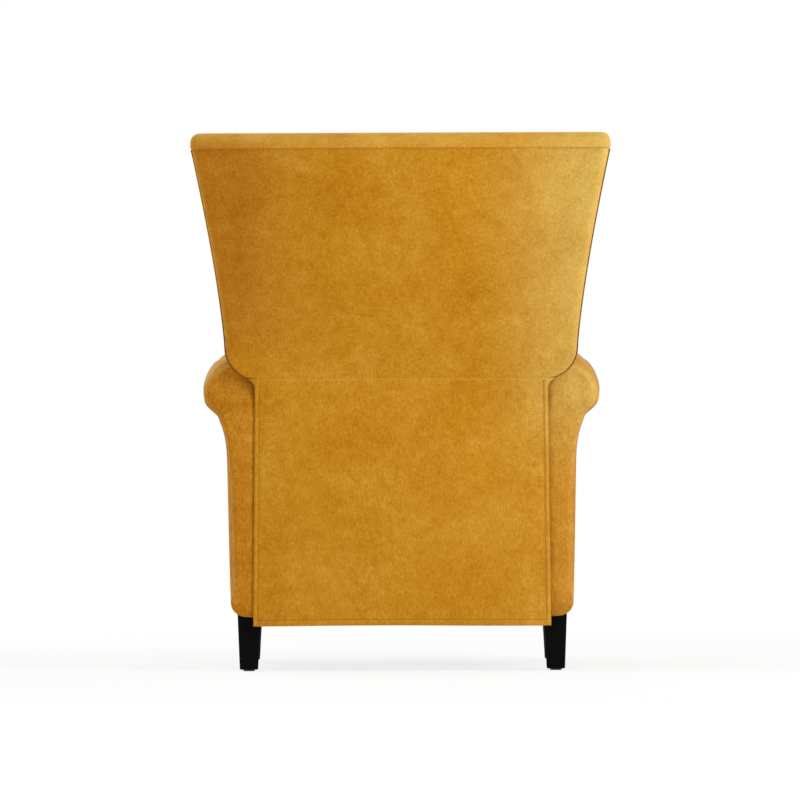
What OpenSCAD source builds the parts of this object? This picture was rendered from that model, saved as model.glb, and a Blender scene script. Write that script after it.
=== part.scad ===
// High-leg push-back recliner: rolled arms, tall flared back with a rolled top, a loose
// flap over the gap behind the seat, tapered legs, and a steel link mechanism between
// the arms. Millimetres, +Z up, the front faces -Y, the origin is on the floor.

/* [Arms and base] */
// Half the clear width between the arms
seat_half = 250; // [230:1:270]
// Thickness of an arm's side panel at its top
arm_panel = 82; // [76:1:95]
// How much the panel draws in towards the floor
arm_taper = 6; // [0:1:10]
// Half the width of the arm roll
roll_w = 62; // [56:1:68]
// Half the height of the arm roll
roll_h = 68; // [60:1:74]
// Height of the arm's top above the floor
arm_top = 608; // [590:1:625]
// How far the roll stands out past the panel
roll_out = 46; // [40:1:54]
// Front of the arm, measured forward from the origin
arm_front = 383; // [360:1:395]
// Rear of the arm, measured back from the origin
arm_rear = 300; // [290:1:310]
// Height of the cove under the roll
cove_h = 84; // [60:1:110]
// Height over which the outer side draws in to the sill
draw_h = 120; // [80:5:160]
// Length of the rounding over the roll's rear end
roll_dome = 58; // [40:1:70]
// Thickness of the scroll-shaped facing on the arm's front
facing_t = 12; // [8:1:16]
// How far the wooden sill stops short of the arm's ends
sill_in = 13; // [12:1:18]
// Height of the wooden sill under each arm
sill_h = 18; // [14:1:24]
// How far the padded cover hangs below the sill
cover_drop = 8; // [4:1:12]
// Height of the front rail between the arms
rail_h = 50; // [40:1:54]
// Height of the rear rail between the arms
rear_rail_h = 104; // [60:1:120]
// How far the rear rail stands in from the arms' rear
rear_rail_in = 44; // [38:1:60]
// Height of both rails above the arms' underside
rail_up = 6; // [0:1:12]
// Thickness of the rails between the arms
rail_t = 25; // [18:1:30]

/* [Legs] */
// Height from the floor to the underside of the arms
leg_h = 111; // [90:1:120]
// Leg width where it meets the sill
leg_top = 45; // [38:1:50]
// Leg width at its foot
leg_foot = 35; // [28:1:38]
// How far the leg's outer face is set in from the arm's lower edge
leg_in = 11; // [4:1:20]
// Radius of the floor glide
glide_r = 11; // [8:1:13]
// Thickness of the floor glide
glide_t = 3; // [2:0.5:5]

/* [Back] */
// Overall height of the chair
back_top = 1030; // [990:1:1060]
// Height of the seam under the rolled top
roll_seam = 1001; // [965:1:1010]
// Half the width of the back at the seam under the rolled top
back_half = 401; // [380:1:415]
// Half the width of the back where it starts to flare
waist_half = 338; // [325:1:346]
// Height at which the flare starts
waist_z = 619; // [612:1:630]
// Height of the back cover's lower edge, over the flap
cover_z = 560; // [550:1:575]
// Radius of the cover's lower corners, across
corner_r = 60; // [45:1:70]
// Rake of the back, as run over rise
rake = 0.236; // [0.2:0.004:0.26]
// Rear face of the back's lower edge behind the arms
back_off = 16; // [14:0.5:22]
// Gap between the arms' rear faces and the back
back_gap = 3; // [2:0.5:4]
// Depth of the back's shell, without its pad
shell_t = 71; // [66:1:78]
// Radius of the back's top corners
crest_r = 18; // [12:1:24]
// How far the top cover's folded edge stands over the panel at its seam
top_lip = 2; // [1:0.5:3]
// Fullness of the outside back
back_crown = 5; // [2:1:8]
// Depth of the wooden frame let into the shell
frame_t = 30; // [24:1:34]
// Width of the frame's stiles
stile_w = 36; // [30:1:42]
// Height of the frame's upper rail
high_rail_h = 60; // [50:1:70]
// Depth of the back pad at the seat
pad_t = 64; // [50:1:74]
// Extra depth of the pad at the small of the back
lumbar = 18; // [0:1:24]
// Radius of the pads' edges
pad_edge = 24; // [18:1:28]
// Fullness of the pads across the back
pad_crown = 12; // [6:1:16]
// Height of the wide pad above its sewn channel
head_h = 184; // [150:2:230]
// Depth of the channel
channel_dip = 9; // [4:1:14]
// How far the wide pad's sides stand in from the back's edges
pad_side = 16; // [12:1:26]
// Gap between the seat cushion's rear and the lumbar pad
pad_gap = 5; // [4:1:14]
// Height of the wings' underside over the arms
wing_gap = 18; // [17:1:30]

/* [Flap] */
// Height of the flap's lower hem
flap_z = 87; // [80:1:100]
// How far the flap laps over each arm at its top
flap_lap = 29; // [22:1:34]
// How much wider each side is at the hem
flap_flare = 5; // [0:1:8]
// How far the flap's top corners spread out under the back
flap_ear = 14; // [4:1:18]
// Thickness of the lined flap
flap_t = 5; // [4:0.5:6]

/* [Seat] */
// Height of the seat cushion's underside
cushion_z = 375; // [374.5:0.5:380]
// Thickness of the cushion at its edges
cushion_t = 100; // [84:1:102]
// Extra height of the crown in the middle
crown = 20; // [8:1:22]
// Front of the cushion, forward from the origin
cushion_front = 420; // [405:1:424]
// Rear of the cushion, back from the origin
cushion_rear = 213; // [200:1:216]
// Height of the seat's side rails
seat_rail_h = 44; // [36:1:48]
// Width of the seat's side rails
seat_rail_w = 32; // [28:1:34]
// Depth of the seat's front rail
seat_front_t = 42; // [36:1:46]
// Depth of the seat's rear rail
seat_rear_t = 30; // [24:1:32]
// Thickness of the cover on the seat's front rail
apron_t = 1.4; // [1:0.1:1.6]
// Wire diameter of the sinuous springs
wire_d = 4; // [3:0.5:4]
// Half width of the springs' bends
wave_w = 24; // [18:1:28]

/* [Mechanism] */
// Thickness of the steel plates and links
plate_t = 4; // [3:0.5:4]
// Width of the webs of the base and seat plates
web_w = 30; // [26:1:34]
// Side gap between neighbouring plates
side_gap = 0.5; // [0.3:0.1:0.6]
// Radius of the pivot pins
pin_r = 5; // [4:0.5:6]
// Radial clearance of a pin in its bore
fit = 0.05; // [0.03:0.01:0.08]
// Side clearance of a pin in its slot
slot_fit = 0.3; // [0.2:0.05:0.4]
// Width of the links at their eyes
link_w = 20; // [18:1:22]
// How much narrower the links are between their eyes
link_neck = 3; // [1:0.5:6]
// Half length of the footrest's crossing links
half_link = 95; // [88:1:97]
// Angle of the closed scissor from its reach line
closed_a = 82; // [78:0.5:83]
// Angle of the open scissor from its reach line
open_a = 8; // [7.5:0.5:14]
// Slope of the reach line, front up
reach_a = 4; // [0:0.5:6]
// Length of the links that carry the seat
swing_l = 80; // [74:1:86]
// Lean of those links when the chair is upright
swing_back = 32; // [28:1:34]
// Angle through which those links swing
swing_range = 50; // [44:1:52]
// Seat tilt over that swing
tilt = 6; // [3:0.5:7]
// Radius of the guide pin at the seat's rear
guide_r = 6; // [5:0.5:7]
// Radius of the cross tubes
tube_r = 9; // [7:0.5:10]

/* [Footrest] */
// Side gap between the footrest and the arms
foot_side = 7; // [5:1:14]
// Lower edge of the closed footrest above the underside of the arms
foot_up = 14; // [9:1:30]
// Upper edge of the closed footrest below the seat cushion
foot_drop = 23; // [21:1:40]
// Depth of the footrest's pad
foot_pad = 52; // [40:1:56]
// Thickness of the footrest's board
foot_board = 12; // [9:1:15]
// Distance of the closed footrest's back from its pivot
foot_stand = 36; // [34:0.5:40]
// Gap between the seat's front rail and the closed footrest
rail_gap = 2; // [2:0.5:5]
// Width of the brackets' flanges behind the board
flange_w = 26; // [20:1:32]

/* [Hidden] */

velvet = [0.77, 0.52, 0.14];
velvet_side = [0.73, 0.48, 0.13];
black = [0.06, 0.06, 0.06];
beech = [0.72, 0.56, 0.38];
steel = [0.42, 0.44, 0.46];
dark_steel = [0.24, 0.25, 0.27];
soft_gap = 0.3;

// Layers of the mechanism, counted inwards from the arm's inner face
function layer(i) = seat_half - plate_t - i * (plate_t + side_gap);
l_base = layer(0);
l_swing = layer(1);
l_seat = layer(2);
l_bar = layer(3);
l_cross = layer(4);
head_t = 2;
head_r = pin_r + 3;

// Fixed pivots, each as [y, z]
swing_base = [-192, 190];
back_pivot = [225, 420];
scissor_root = [-296, 328];
function ahead(a) = [-cos(a), sin(a)];
function turn(p, a) = [p[0] * cos(a) + p[1] * sin(a), -p[0] * sin(a) + p[1] * cos(a)];

// Where the carrying link holds the seat after a swing of q degrees
function swing_top(q) = swing_base + swing_l * [-sin(q - swing_back), cos(q - swing_back)];
guide_rest = [150, 300];
function guide_at(q) = swing_top(q) + turn(guide_rest - swing_top(0), q * tilt / swing_range);

// Scissor pivots on the closed footrest
a_dir = ahead(reach_a - closed_a);
b_dir = ahead(reach_a + closed_a);
scissor_mid = scissor_root + half_link * a_dir;
scissor_low = scissor_mid + half_link * a_dir;
slot_rest = scissor_mid - half_link * b_dir;
foot_pivot = scissor_mid + half_link * b_dir;
foot_low = foot_pivot + half_link * a_dir;
slot_down = [-sin(reach_a), -cos(reach_a)];
slot_top = 2 * half_link * sin(open_a);
slot_end = 2 * half_link * sin(closed_a);
foot_back = -foot_pivot[0] + foot_stand;
rail_front = foot_back - rail_gap;

// Heights and places that follow from the sizes above
leg_out = seat_half + arm_panel - arm_taper - leg_in;
back_y = arm_rear + back_off;
pad_z = cushion_z + cushion_t + 0.35 * crown + pad_gap;
wing_z = arm_top + wing_gap;
flap_half = seat_half + flap_lap;
foot_half = seat_half - foot_side;
foot_z = leg_h + foot_up;
foot_top = cushion_z - foot_drop;
arm_z = arm_top - roll_h;
arm_low = leg_h - cover_drop;
arm_x = seat_half + arm_panel + roll_out - roll_w;
seat_rail_top = cushion_z - 0.5 - wire_d;
front_rail_z = scissor_root[1] + pin_r + 13;
flap_y = back_y - 1 - flap_t / 2;
hinge_z = cover_z - flap_t / 2 - soft_gap;
function rear_y(z) = back_y + (z - cover_z) * rake;

// Points along the arm's outline, seen from the front, for the side at +X
function arc_pts(c, rx, rz, a0, a1, n) =
  [for (i = [0:n]) let (a = a0 + (a1 - a0) * i / n) c + [rx * cos(a), rz * sin(a)]];
function bend_pts(p, m, q, n) =
  [for (i = [1:n]) let (t = i / n) (1 - t) * (1 - t) * p + 2 * t * (1 - t) * m + t * t * q];
// The roll's outline, a little flatter at its outer shoulder than an ellipse
function roll_pts(a0, a1, n) =
  [for (i = [0:n]) let (a = a0 + (a1 - a0) * i / n, k = a > 0 && a < 90 ? 1.1 : 1)
    [arm_x + roll_w * sign(cos(a)) * pow(abs(cos(a)), k),
     arm_z + roll_h * sign(sin(a)) * pow(abs(sin(a)), k)]];
kink_a = -42;
kink = [arm_x + roll_w * cos(kink_a), arm_z + roll_h * sin(kink_a)];
panel_x = seat_half + arm_panel;
cove_z = kink[1] - cove_h;
function arm_outline() = concat(
  [[seat_half, arm_low], [seat_half + arm_panel * 0.45, arm_low]],
  arc_pts([panel_x - arm_taper - 30, arm_low + 26], 30, 26, -90, 0, 6),
  [[panel_x - arm_taper * 0.6, leg_h + draw_h], [panel_x, cove_z]],
  bend_pts([panel_x, cove_z], [panel_x + 3, kink[1] - 13], kink, 6),
  roll_pts(kink_a + 8, 176, 22),
  [[seat_half, arm_z - roll_h * 0.45], [seat_half, (arm_z + leg_h) / 2]]
);

// A closed outline drawn in by e along its own normals
function unit(v) = v / max(norm(v), 0.0001);
function drawn_in(p, e) = [
  for (i = [0:len(p) - 1])
    let (
      a = p[(i + len(p) - 1) % len(p)],
      b = p[(i + 1) % len(p)],
      t = unit(b - a)
    ) p[i] + e * [-t[1], t[0]]
];

// A solid through a row of rings that have the same number of points
module skin(rings) {
  n = len(rings[0]);
  m = len(rings);
  polyhedron(
    points = [for (r = rings) for (p = r) p],
    faces = concat(
      [[for (i = [n - 1:-1:0]) i]],
      [for (k = [0:m - 2]) for (i = [0:n - 1]) each [
        [k * n + i, k * n + (i + 1) % n, (k + 1) * n + (i + 1) % n],
        [k * n + i, (k + 1) * n + (i + 1) % n, (k + 1) * n + i]
      ]],
      [[for (i = [0:n - 1]) (m - 1) * n + i]]
    )
  );
}

// A (y, z) profile made t thick from x outwards
module plate(x, t) {
  translate([x, 0, 0]) rotate([90, 0, 90]) linear_extrude(t) children();
}

// A round bar along X from x0 to x1 at the point p
module rod(p, x0, x1, r) {
  translate([x0, p[0], p[1]]) rotate([0, 90, 0]) cylinder(h = x1 - x0, r = r, $fn = 48);
}

module disc(p, r) {
  translate(p) circle(r = r, $fn = 48);
}

// The flat outline of a link: round eyes at its ends, drawn in by neck between them
module bar(p, q, w, neck = link_neck) {
  d = q - p;
  b = w - neck;
  disc(p, w / 2);
  disc(q, w / 2);
  translate(p) rotate(atan2(d[1], d[0])) translate([0, -b / 2]) square([norm(d), b]);
}

// A straight slot between two points, with slightly relieved round ends
module slot(p, q, r) {
  bar(p, q, 2 * r + 0.4, 0.4);
}

module flip(side) {
  if (side < 0) mirror([1, 0, 0]) children();
  else children();
}

// Arms: padded side panel with a rolled top and an outward cove under the roll
arm_ends = [[0, 9], [3, 4], [9, 1], [20, 0]];
dome_stops = [1, 0.76, 0.55, 0.34, 0.17, 0.06, 0];
module arm() {
  o = arm_outline();
  len_y = arm_front + arm_rear;
  rings = concat(
    [for (e = arm_ends) [-arm_front + e[0], e[1], 1]],
    [for (f = [0.25, 0.5, 0.75]) [-arm_front + len_y * f, 0, 1]],
    [for (d = dome_stops) [
      arm_rear - roll_dome * d,
      arm_ends[0][1] * 0.8 * pow(max(0, 1 - d / 0.34), 1.6),
      0.3 + 0.7 * sqrt(1 - (1 - d) * (1 - d))
    ]]
  );
  difference() {
    skin([for (r = rings) [for (p = drawn_in(o, r[1]))
      [p[0], r[0], p[1] > arm_z ? arm_z + (p[1] - arm_z) * r[2] : p[1]]]]);
    sill_block(soft_gap, cover_drop + 1);
  }
}

module sill_block(gap, below) {
  x0 = seat_half + 12;
  translate([x0 - gap, -arm_front + sill_in - gap, leg_h - below])
    cube([leg_out + 2 - x0 + 2 * gap, arm_front + arm_rear - 2 * sill_in + 2 * gap, sill_h + below]);
}

module facing() {
  translate([0, -arm_front, 0]) rotate([90, 0, 0]) linear_extrude(facing_t)
    polygon(drawn_in(arm_outline(), 10));
}

// Legs: square, tapered on all four sides, the inner side more
module leg(front) {
  y0 = front ? -arm_front + sill_in + 11 : arm_rear - sill_in - 1 - leg_top;
  draw = leg_top - leg_foot;
  hull() {
    translate([leg_out - leg_top, y0, leg_h - 1]) cube([leg_top, leg_top, 1]);
    translate([leg_out - leg_top + draw * 0.6, y0 + draw / 2, glide_t])
      cube([leg_foot, leg_foot, 1]);
  }
}

function leg_mid(front) = [
  leg_out - leg_top + (leg_top - leg_foot) * 0.6 + leg_foot / 2,
  front ? -arm_front + sill_in + 11 + leg_top / 2 : arm_rear - sill_in - 1 - leg_top / 2
];

module glide_set() {
  for (s = [-1, 1]) for (f = [true, false])
    translate([s * leg_mid(f)[0], leg_mid(f)[1], 0]) {
      cylinder(h = glide_t, r = glide_r, $fn = 40);
    }
}

// Rails that tie the two arms together under the seat
module cross_rail(y, z, h) {
  translate([-seat_half, y, z]) cube([2 * seat_half, rail_t, h]);
}

// The plates' corners stand off their pivots in step with the webs' width
wk = web_w / 30;

// Base plate: fixed to the arm, with the carrying pivot, the guide slot and the back's pivot
guide_steps = 24;
module guide_slot(r) {
  c = [for (i = [0:guide_steps]) guide_at(swing_range * i / guide_steps)];
  n = [for (i = [0:guide_steps]) let (t = unit(c[min(i + 1, guide_steps)] - c[max(i - 1, 0)]))
    [-t[1], t[0]]];
  polygon(concat(
    [for (i = [0:guide_steps]) c[i] + r * n[i]],
    [for (i = [guide_steps:-1:0]) c[i] - r * n[i]]
  ));
  disc(c[0], r + 0.2);
  disc(c[guide_steps], r + 0.2);
}

module base_plate() {
  g0 = guide_at(0);
  g1 = guide_at(swing_range);
  union() {
    plate(l_base, plate_t) difference() {
      union() {
        polygon([
          swing_base + wk * [-22, -18], swing_base + wk * [-22, 12], swing_base + wk * [10, 20],
          [g1[0] - 60 * wk, swing_base[1] + 30 * wk], g1 + wk * [-26, 16], g1 + wk * [-6, 30],
          g0 + wk * [-10, 40], back_pivot + wk * [-26, -6], back_pivot + wk * [26, -6],
          [back_pivot[0] + 26 * wk, g0[1] - 40 * wk],
          [back_pivot[0] - 4 * wk, swing_base[1] - 18 * wk]
        ]);
        disc(back_pivot, 26 * wk);
      }
      guide_slot(guide_r + slot_fit);
      disc([(swing_base[0] + g1[0]) / 2, swing_base[1] + 3], 12);
    }
    rod(swing_base, l_swing - side_gap / 2, l_base + 1, pin_r);
    rod(swing_base, l_swing - side_gap / 2 - head_t, l_swing - side_gap / 2, head_r);
    rod(back_pivot, l_swing - side_gap / 2, l_base + 1, pin_r + 1);
    rod(back_pivot, l_swing - side_gap / 2 - head_t, l_swing - side_gap / 2, head_r + 1);
  }
}

// Links that carry the seat's front, joined by a tube
module swing_link() {
  plate(l_swing, plate_t) difference() {
    bar(swing_base, swing_top(0), link_w + 4);
    disc(swing_base, pin_r + fit);
    disc(swing_top(0), pin_r + fit);
  }
}

module swing_cross() {
  rod((swing_base + swing_top(0)) / 2, -l_swing, l_swing, tube_r);
}

// Seat plate: carries the seat's rails, the scissor's root pivot and its straight slot
module seat_plate() {
  f = swing_top(0);
  s0 = scissor_root + slot_top * slot_down;
  s1 = scissor_root + slot_end * slot_down;
  union() {
    plate(l_seat, plate_t) difference() {
      union() {
        polygon([
          scissor_root + wk * [-22, -6], scissor_root + wk * [-22, 10],
          [scissor_root[0] - 8 * wk, front_rail_z], [scissor_root[0] + 40 * wk, seat_rail_top - 6],
          [guide_rest[0] + 28 * wk, seat_rail_top - 6], guide_rest + wk * [28, 4],
          guide_rest + wk * [14, -14], guide_rest + wk * [-40, -10], f + wk * [60, 34],
          f + wk * [15, -4], f + wk * [-15, -4], f + wk * [-50, 36], scissor_root + wk * [34, -44]
        ]);
        disc(f, 16 * wk);
        bar(scissor_root, s1, 36);
      }
      slot(s0, s1, pin_r + slot_fit);
    }
    rod(f, l_seat + 1, l_swing + plate_t - 0.1, pin_r);
    rod(guide_rest, l_seat + 1, l_base + plate_t - 0.6, guide_r);
    rod(scissor_root, l_bar - side_gap / 2, l_seat + 1, pin_r);
    rod(scissor_root, l_bar - side_gap / 2 - head_t, l_bar - side_gap / 2, head_r);
  }
}

// Footrest scissor: two crossing links, an end link and the bracket under the footrest
module inner_pin(p) {
  rod(p, l_cross - side_gap / 2, l_bar + 1, pin_r);
  rod(p, l_cross - side_gap / 2 - head_t, l_cross - side_gap / 2, head_r);
}

module long_link() {
  union() {
    plate(l_bar, plate_t) difference() {
      bar(scissor_root, scissor_low, link_w);
      disc(scissor_root, pin_r + fit);
    }
    inner_pin(scissor_mid);
    inner_pin(scissor_low);
  }
}

module cross_link() {
  union() {
    plate(l_cross, plate_t) difference() {
      bar(slot_rest, foot_pivot, link_w);
      disc(scissor_mid, pin_r + fit);
      disc(foot_pivot, pin_r + fit);
    }
    rod(slot_rest, l_cross + 1, l_seat + plate_t - 0.4, pin_r);
  }
}

module end_link() {
  plate(l_cross, plate_t) difference() {
    bar(scissor_low, foot_low, link_w);
    disc(scissor_low, pin_r + fit);
    disc(foot_low, pin_r + fit);
  }
}

tube_at = scissor_root + half_link * 0.3 * a_dir;
module scissor_cross() {
  rod(tube_at, -l_bar, l_bar, tube_r - 2);
}

flange_z0 = foot_low[1] + link_w / 2 + 12;
module foot_bracket() {
  face = -foot_back;
  union() {
    plate(l_bar, plate_t) union() {
      bar(foot_pivot, foot_low, link_w);
      polygon([
        [foot_pivot[0] - 2, foot_pivot[1] + 6], [face, foot_top - 8],
        [face, flange_z0], [foot_low[0] - 4, foot_low[1] + 7], [foot_low[0], foot_low[1]]
      ]);
    }
    inner_pin(foot_pivot);
    inner_pin(foot_low);
    translate([l_bar - flange_w, face, flange_z0])
      cube([flange_w + plate_t, 3, foot_top - 8 - flange_z0]);
  }
}

// A padded block's ring at y: round corners of radius r, a crown on top and full sides
function corner_pts(x, z, r, a0, n) =
  [for (i = [0:n]) let (a = a0 + 22.5 * i) [x + r * cos(a), z + r * sin(a)]];
function row(p, q, n) = [for (i = [1:n]) p + (q - p) * i / (n + 1)];
function pad_ring(y, w, z0, z1, r, up, full, n) =
  let (
    x = w - r,
    zl = z0 + r,
    zh = z1 - r,
    flat = concat(
      corner_pts(-x, zl, r, 225, 2),
      row([-x, z0], [x, z0], n),
      corner_pts(x, zl, r, -90, 4),
      row([w, zl], [w, zh], 2),
      corner_pts(x, zh, r, 0, 4),
      row([x, z1], [-x, z1], n),
      corner_pts(-x, zh, r, 90, 4),
      row([-w, zh], [-w, zl], 2),
      corner_pts(-x, zl, r, 180, 1)
    )
  ) [
    for (p = flat)
      let (
        u = p[0] / w,
        v = (p[1] - z0) / (z1 - z0),
        lift = up * (1 - u * u) * max(0, 2 * v - 1),
        side = full * (4 * v * (1 - v) - 1) * (abs(u) > 0.8 ? 1 : 0)
      ) [p[0] + (u > 0 ? side : -side), y, p[1] + lift]
  ];

module cushion() {
  m = (cushion_rear - cushion_front) / 2;
  h = (cushion_rear + cushion_front) / 2;
  steps = [-1, -0.985, -0.95, -0.88, -0.7, -0.4, 0, 0.4, 0.62, 0.75, 0.88, 0.96, 1];
  skin([
    for (s = steps)
      let (
        e = pow(abs(s), 24),
        narrow = s > 0 ? min(1, max(0, (s - 0.62) / 0.13)) : 0,
        w = front_w + (rear_w - front_w) * narrow - 12 * e
      )
        pad_ring(m + h * s, w, cushion_z + 12 * e, cushion_z + cushion_t - 14 * e, 24,
          crown * (1 - pow(abs(s), 3)) + 0.5, 3, 9)
  ]);
}
front_w = seat_half - 4;
rear_w = l_swing - side_gap / 2 - head_t - 3;

// Footrest board and pad, hanging closed under the seat's front
module board() {
  translate([-foot_half + 12, -foot_back - foot_board, foot_z + 6])
    cube([2 * foot_half - 24, foot_board, foot_top - foot_z - 12]);
}

foot_rings = [[3, 0], [0, 0.06], [0, 0.3], [1, 0.55], [4, 0.76], [9, 0.86], [24, 0.92],
  [50, 0.97], [84, 1]];
module foot_pad() {
  y0 = -foot_back - foot_board - soft_gap;
  z_mid = (foot_z + foot_top) / 2;
  z_half = (foot_top - foot_z) / 2;
  skin([
    for (f = foot_rings)
      [for (p = pad_ring(0, foot_half - f[0], -z_half + f[0], z_half - f[0], 22, 0, 0, 7))
        [p[0], y0 - (foot_pad - 3) * f[1], z_mid + p[2]]]
  ]);
}

// Seat frame and springs
module side_rail() {
  top = seat_rail_top;
  step = scissor_root[0] + 30;
  plate(l_seat - seat_rail_w, seat_rail_w) polygon([
    [-rail_front, front_rail_z], [-rail_front, top], [guide_rest[0] + 24, top],
    [guide_rest[0] + 24, top - seat_rail_h], [step, top - seat_rail_h], [step, front_rail_z]
  ]);
}

module tie_rail(y, t, z) {
  inner = l_seat - seat_rail_w;
  translate([-inner, y, z]) cube([2 * inner, t, seat_rail_top - z]);
}

// Cover cloth drawn over the front rail, between the cushion and the footrest
module apron() {
  z0 = front_rail_z + 0.6;
  translate([-l_seat, -rail_front - apron_t, z0])
    cube([2 * l_seat, apron_t, cushion_z - soft_gap - z0]);
}

spring_n = 4;
waves = 6;
spring_pitch = (2 * (l_seat - seat_rail_w) - 18) / spring_n;
module spring(x) {
  y0 = -rail_front + 12;
  y1 = guide_rest[0] + 12;
  z = cushion_z - 0.5 - wire_d / 2;
  steps = waves * 8;
  path = [for (i = [0:steps]) [x + wave_w * sin(45 * i), y0 + (y1 - y0) * i / steps, z]];
  skin([
    for (i = [0:steps])
      let (t = unit(path[min(i + 1, steps)] - path[max(i - 1, 0)]), side = unit([-t[1], t[0], 0]))
        [for (k = [0:4]) path[i] + wire_d / 2 * (sin(72 * k + 36) * [0, 0, 1] - cos(72 * k + 36) * side)]
  ]);
}

// Back: wooden stiles and rails let into the shell, steel brackets at the sides
function frame_face(z) = rear_y(z) - shell_t + frame_t;
module frame_slab(x0, x1, z0, z1, g) {
  plate(x0 - g, x1 - x0 + 2 * g) polygon([
    [frame_face(z0 - g) - frame_t - g, z0 - g], [frame_face(z0 - g) + g, z0 - g],
    [frame_face(z1 + g) + g, z1 + g], [frame_face(z1 + g) - frame_t - g, z1 + g]
  ]);
}
stile_out = l_swing - side_gap / 2;
stile_top = roll_seam - 40;

module stile(g) {
  frame_slab(stile_out - stile_w, stile_out, pad_z - 14, stile_top, g);
}

module low_rail(g) {
  frame_slab(-stile_out + stile_w, stile_out - stile_w, pad_z, cover_z, g);
}

module high_rail(g) {
  frame_slab(-stile_out + stile_w, stile_out - stile_w, stile_top - high_rail_h, stile_top, g);
}

module back_bracket() {
  top = wing_z - 12;
  difference() {
    union() {
      plate(l_swing, plate_t) polygon([
        [back_pivot[0] - 20, back_pivot[1]], [frame_face(pad_z) - frame_t + 4, pad_z],
        [frame_face(top) - frame_t + 6, top - 8], [frame_face(top) - frame_t + 14, top],
        [frame_face(top) - 8, top], [frame_face(pad_z) - 2, pad_z],
        [back_pivot[0] + 20, back_pivot[1]]
      ]);
      rod(back_pivot, l_swing, l_swing + plate_t, 20);
    }
    rod(back_pivot, l_swing - 1, l_swing + plate_t + 1, pin_r + 1 + fit);
  }
}

// Half width of the back at a height: round lower corner, slow waist, flare, round top
function flare(z) = waist_half + (back_half - waist_half)
  * pow(max(0, (z - waist_z) / (roll_seam - waist_z)), 1.3);
function half_at(z) =
  z < waist_z
    ? waist_half - corner_r * (1 - sqrt(max(0, 1 - pow((waist_z - z) / (waist_z - cover_z), 2))))
    : flare(min(z, roll_seam));
top_r = back_top - roll_seam;
function crest(z) = let (t = max(0, z - back_top + crest_r) / crest_r)
  crest_r * (1 - sqrt(max(0, 1 - t * t)));
function over(z) = z <= roll_seam ? 0 : 1 - sqrt(max(0, 1 - pow((z - roll_seam) / top_r, 2)));

// One level ring of the back, from its rear face yr forward to yf
function shell_ring(z, w, yf, yr, rr, rf, full) =
  let (n = 6, m = 7)
    concat(
      [for (i = [0:n - 1]) let (a = 90 - 90 * i / (n - 1)) [w - rr + rr * cos(a), yr - rr + rr * sin(a), z]],
      [for (i = [0:n - 1]) let (a = -90 * i / (n - 1))
        [w - 0.5 * rf + rf * (cos(a) - 1) * 0.6, yf + rf + rf * sin(a), z]],
      [for (i = [1:m]) let (t = 1 - 2 * i / (m + 1)) [t * (w - rf), yf, z]],
      [for (i = [0:n - 1]) let (a = -90 - 90 * i / (n - 1))
        [-w + 0.5 * rf - rf * (-cos(a) - 1) * 0.6, yf + rf + rf * sin(a), z]],
      [for (i = [0:n - 1]) let (a = 180 - 90 * i / (n - 1)) [-w + rr + rr * cos(a), yr - rr + rr * sin(a), z]],
      [for (i = [1:m]) let (t = -1 + 2 * i / (m + 1)) [t * (w - rr), yr + full * (1 - t * t), z]]
    );

// Shell: outside back with soft edges, wings over the arms and the rolled top
shell_levels = concat(
  [for (t = [0, 0.03, 0.1, 0.2, 0.37, 0.63, 1]) cover_z + (waist_z - cover_z) * t],
  [wing_z - 5, wing_z],
  [for (t = [0.12, 0.28, 0.44, 0.6, 0.76, 0.9, 1]) wing_z + (roll_seam - wing_z) * t],
  [for (t = [0.04, 0.3, 0.58, 0.8, 0.94, 0.985, 1]) roll_seam + top_r * t]
);
function shell_front(z) =
  z < wing_z
    ? arm_rear + back_gap
    : rear_y(min(z, roll_seam)) - shell_t + (shell_t - top_r - 20) * over(z);
module back_skin() {
  skin([
    for (z = shell_levels)
      let (
        o = over(z),
        yr = rear_y(min(z, roll_seam)) - top_r * o + (z > roll_seam ? top_lip * (1 - o) : 0),
        yf = shell_front(z),
        d = yr - yf
      )
        shell_ring(z, half_at(z) - crest(z), yf, yr, min(18, d * 0.42), min(9, d * 0.4),
          back_crown * min(1, 0.3 + (z - cover_z) / 170))
  ]);
}

module shell() {
  difference() {
    back_skin();
    stile(soft_gap);
    mirror([1, 0, 0]) stile(soft_gap);
    low_rail(soft_gap);
    high_rail(soft_gap);
  }
}

// Pads on the back's front: a narrow one between the arms, fuller at the lumbar, and a wide
// one above the arms with a sewn channel under the head. They meet in a deep crease.
function pad_ring_z(z, w, yf, yr, r, up) =
  let (n = 6, m = 9)
    concat(
      [[w - 3, yr, z], [w, yr - 3, z]],
      [for (i = [0:n - 1]) let (a = -90 * i / (n - 1)) [w - r + r * cos(a), yf + r + r * sin(a), z]],
      [for (i = [1:m]) let (t = 1 - 2 * i / (m + 1)) [t * (w - r), yf - up * (1 - t * t), z]],
      [for (i = [0:n - 1]) let (a = -90 - 90 * i / (n - 1)) [-w + r + r * cos(a), yf + r + r * sin(a), z]],
      [[-w, yr - 3, z], [-w + 3, yr, z]]
    );
pad_top = roll_seam + top_r * 0.45;
pad_stops = [0, 0.04, 0.15, 0.32, 0.55, 0.8];
channel_z = pad_top - head_h;
channel_stops = [-26, -14, -6, 0, 6, 14, 26];
function between(a, b, n) = [for (i = [0:n]) a + (b - a) * i / n];
function pad_levels(z0, z1, wide) = let (a = z0 + pad_edge, b = z1 - pad_edge) concat(
  [for (s = pad_stops) z0 + pad_edge * s],
  wide
    ? concat(
        between(a, channel_z - 40, 3), [for (c = channel_stops) channel_z + c],
        between(channel_z + 40, b, 2)
      )
    : between(a, b, 4),
  [for (i = [len(pad_stops) - 1:-1:0]) z1 - pad_edge * pad_stops[i]]
);
function dip(z) = channel_dip * exp(-pow((z - channel_z) / 13, 2));
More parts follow.
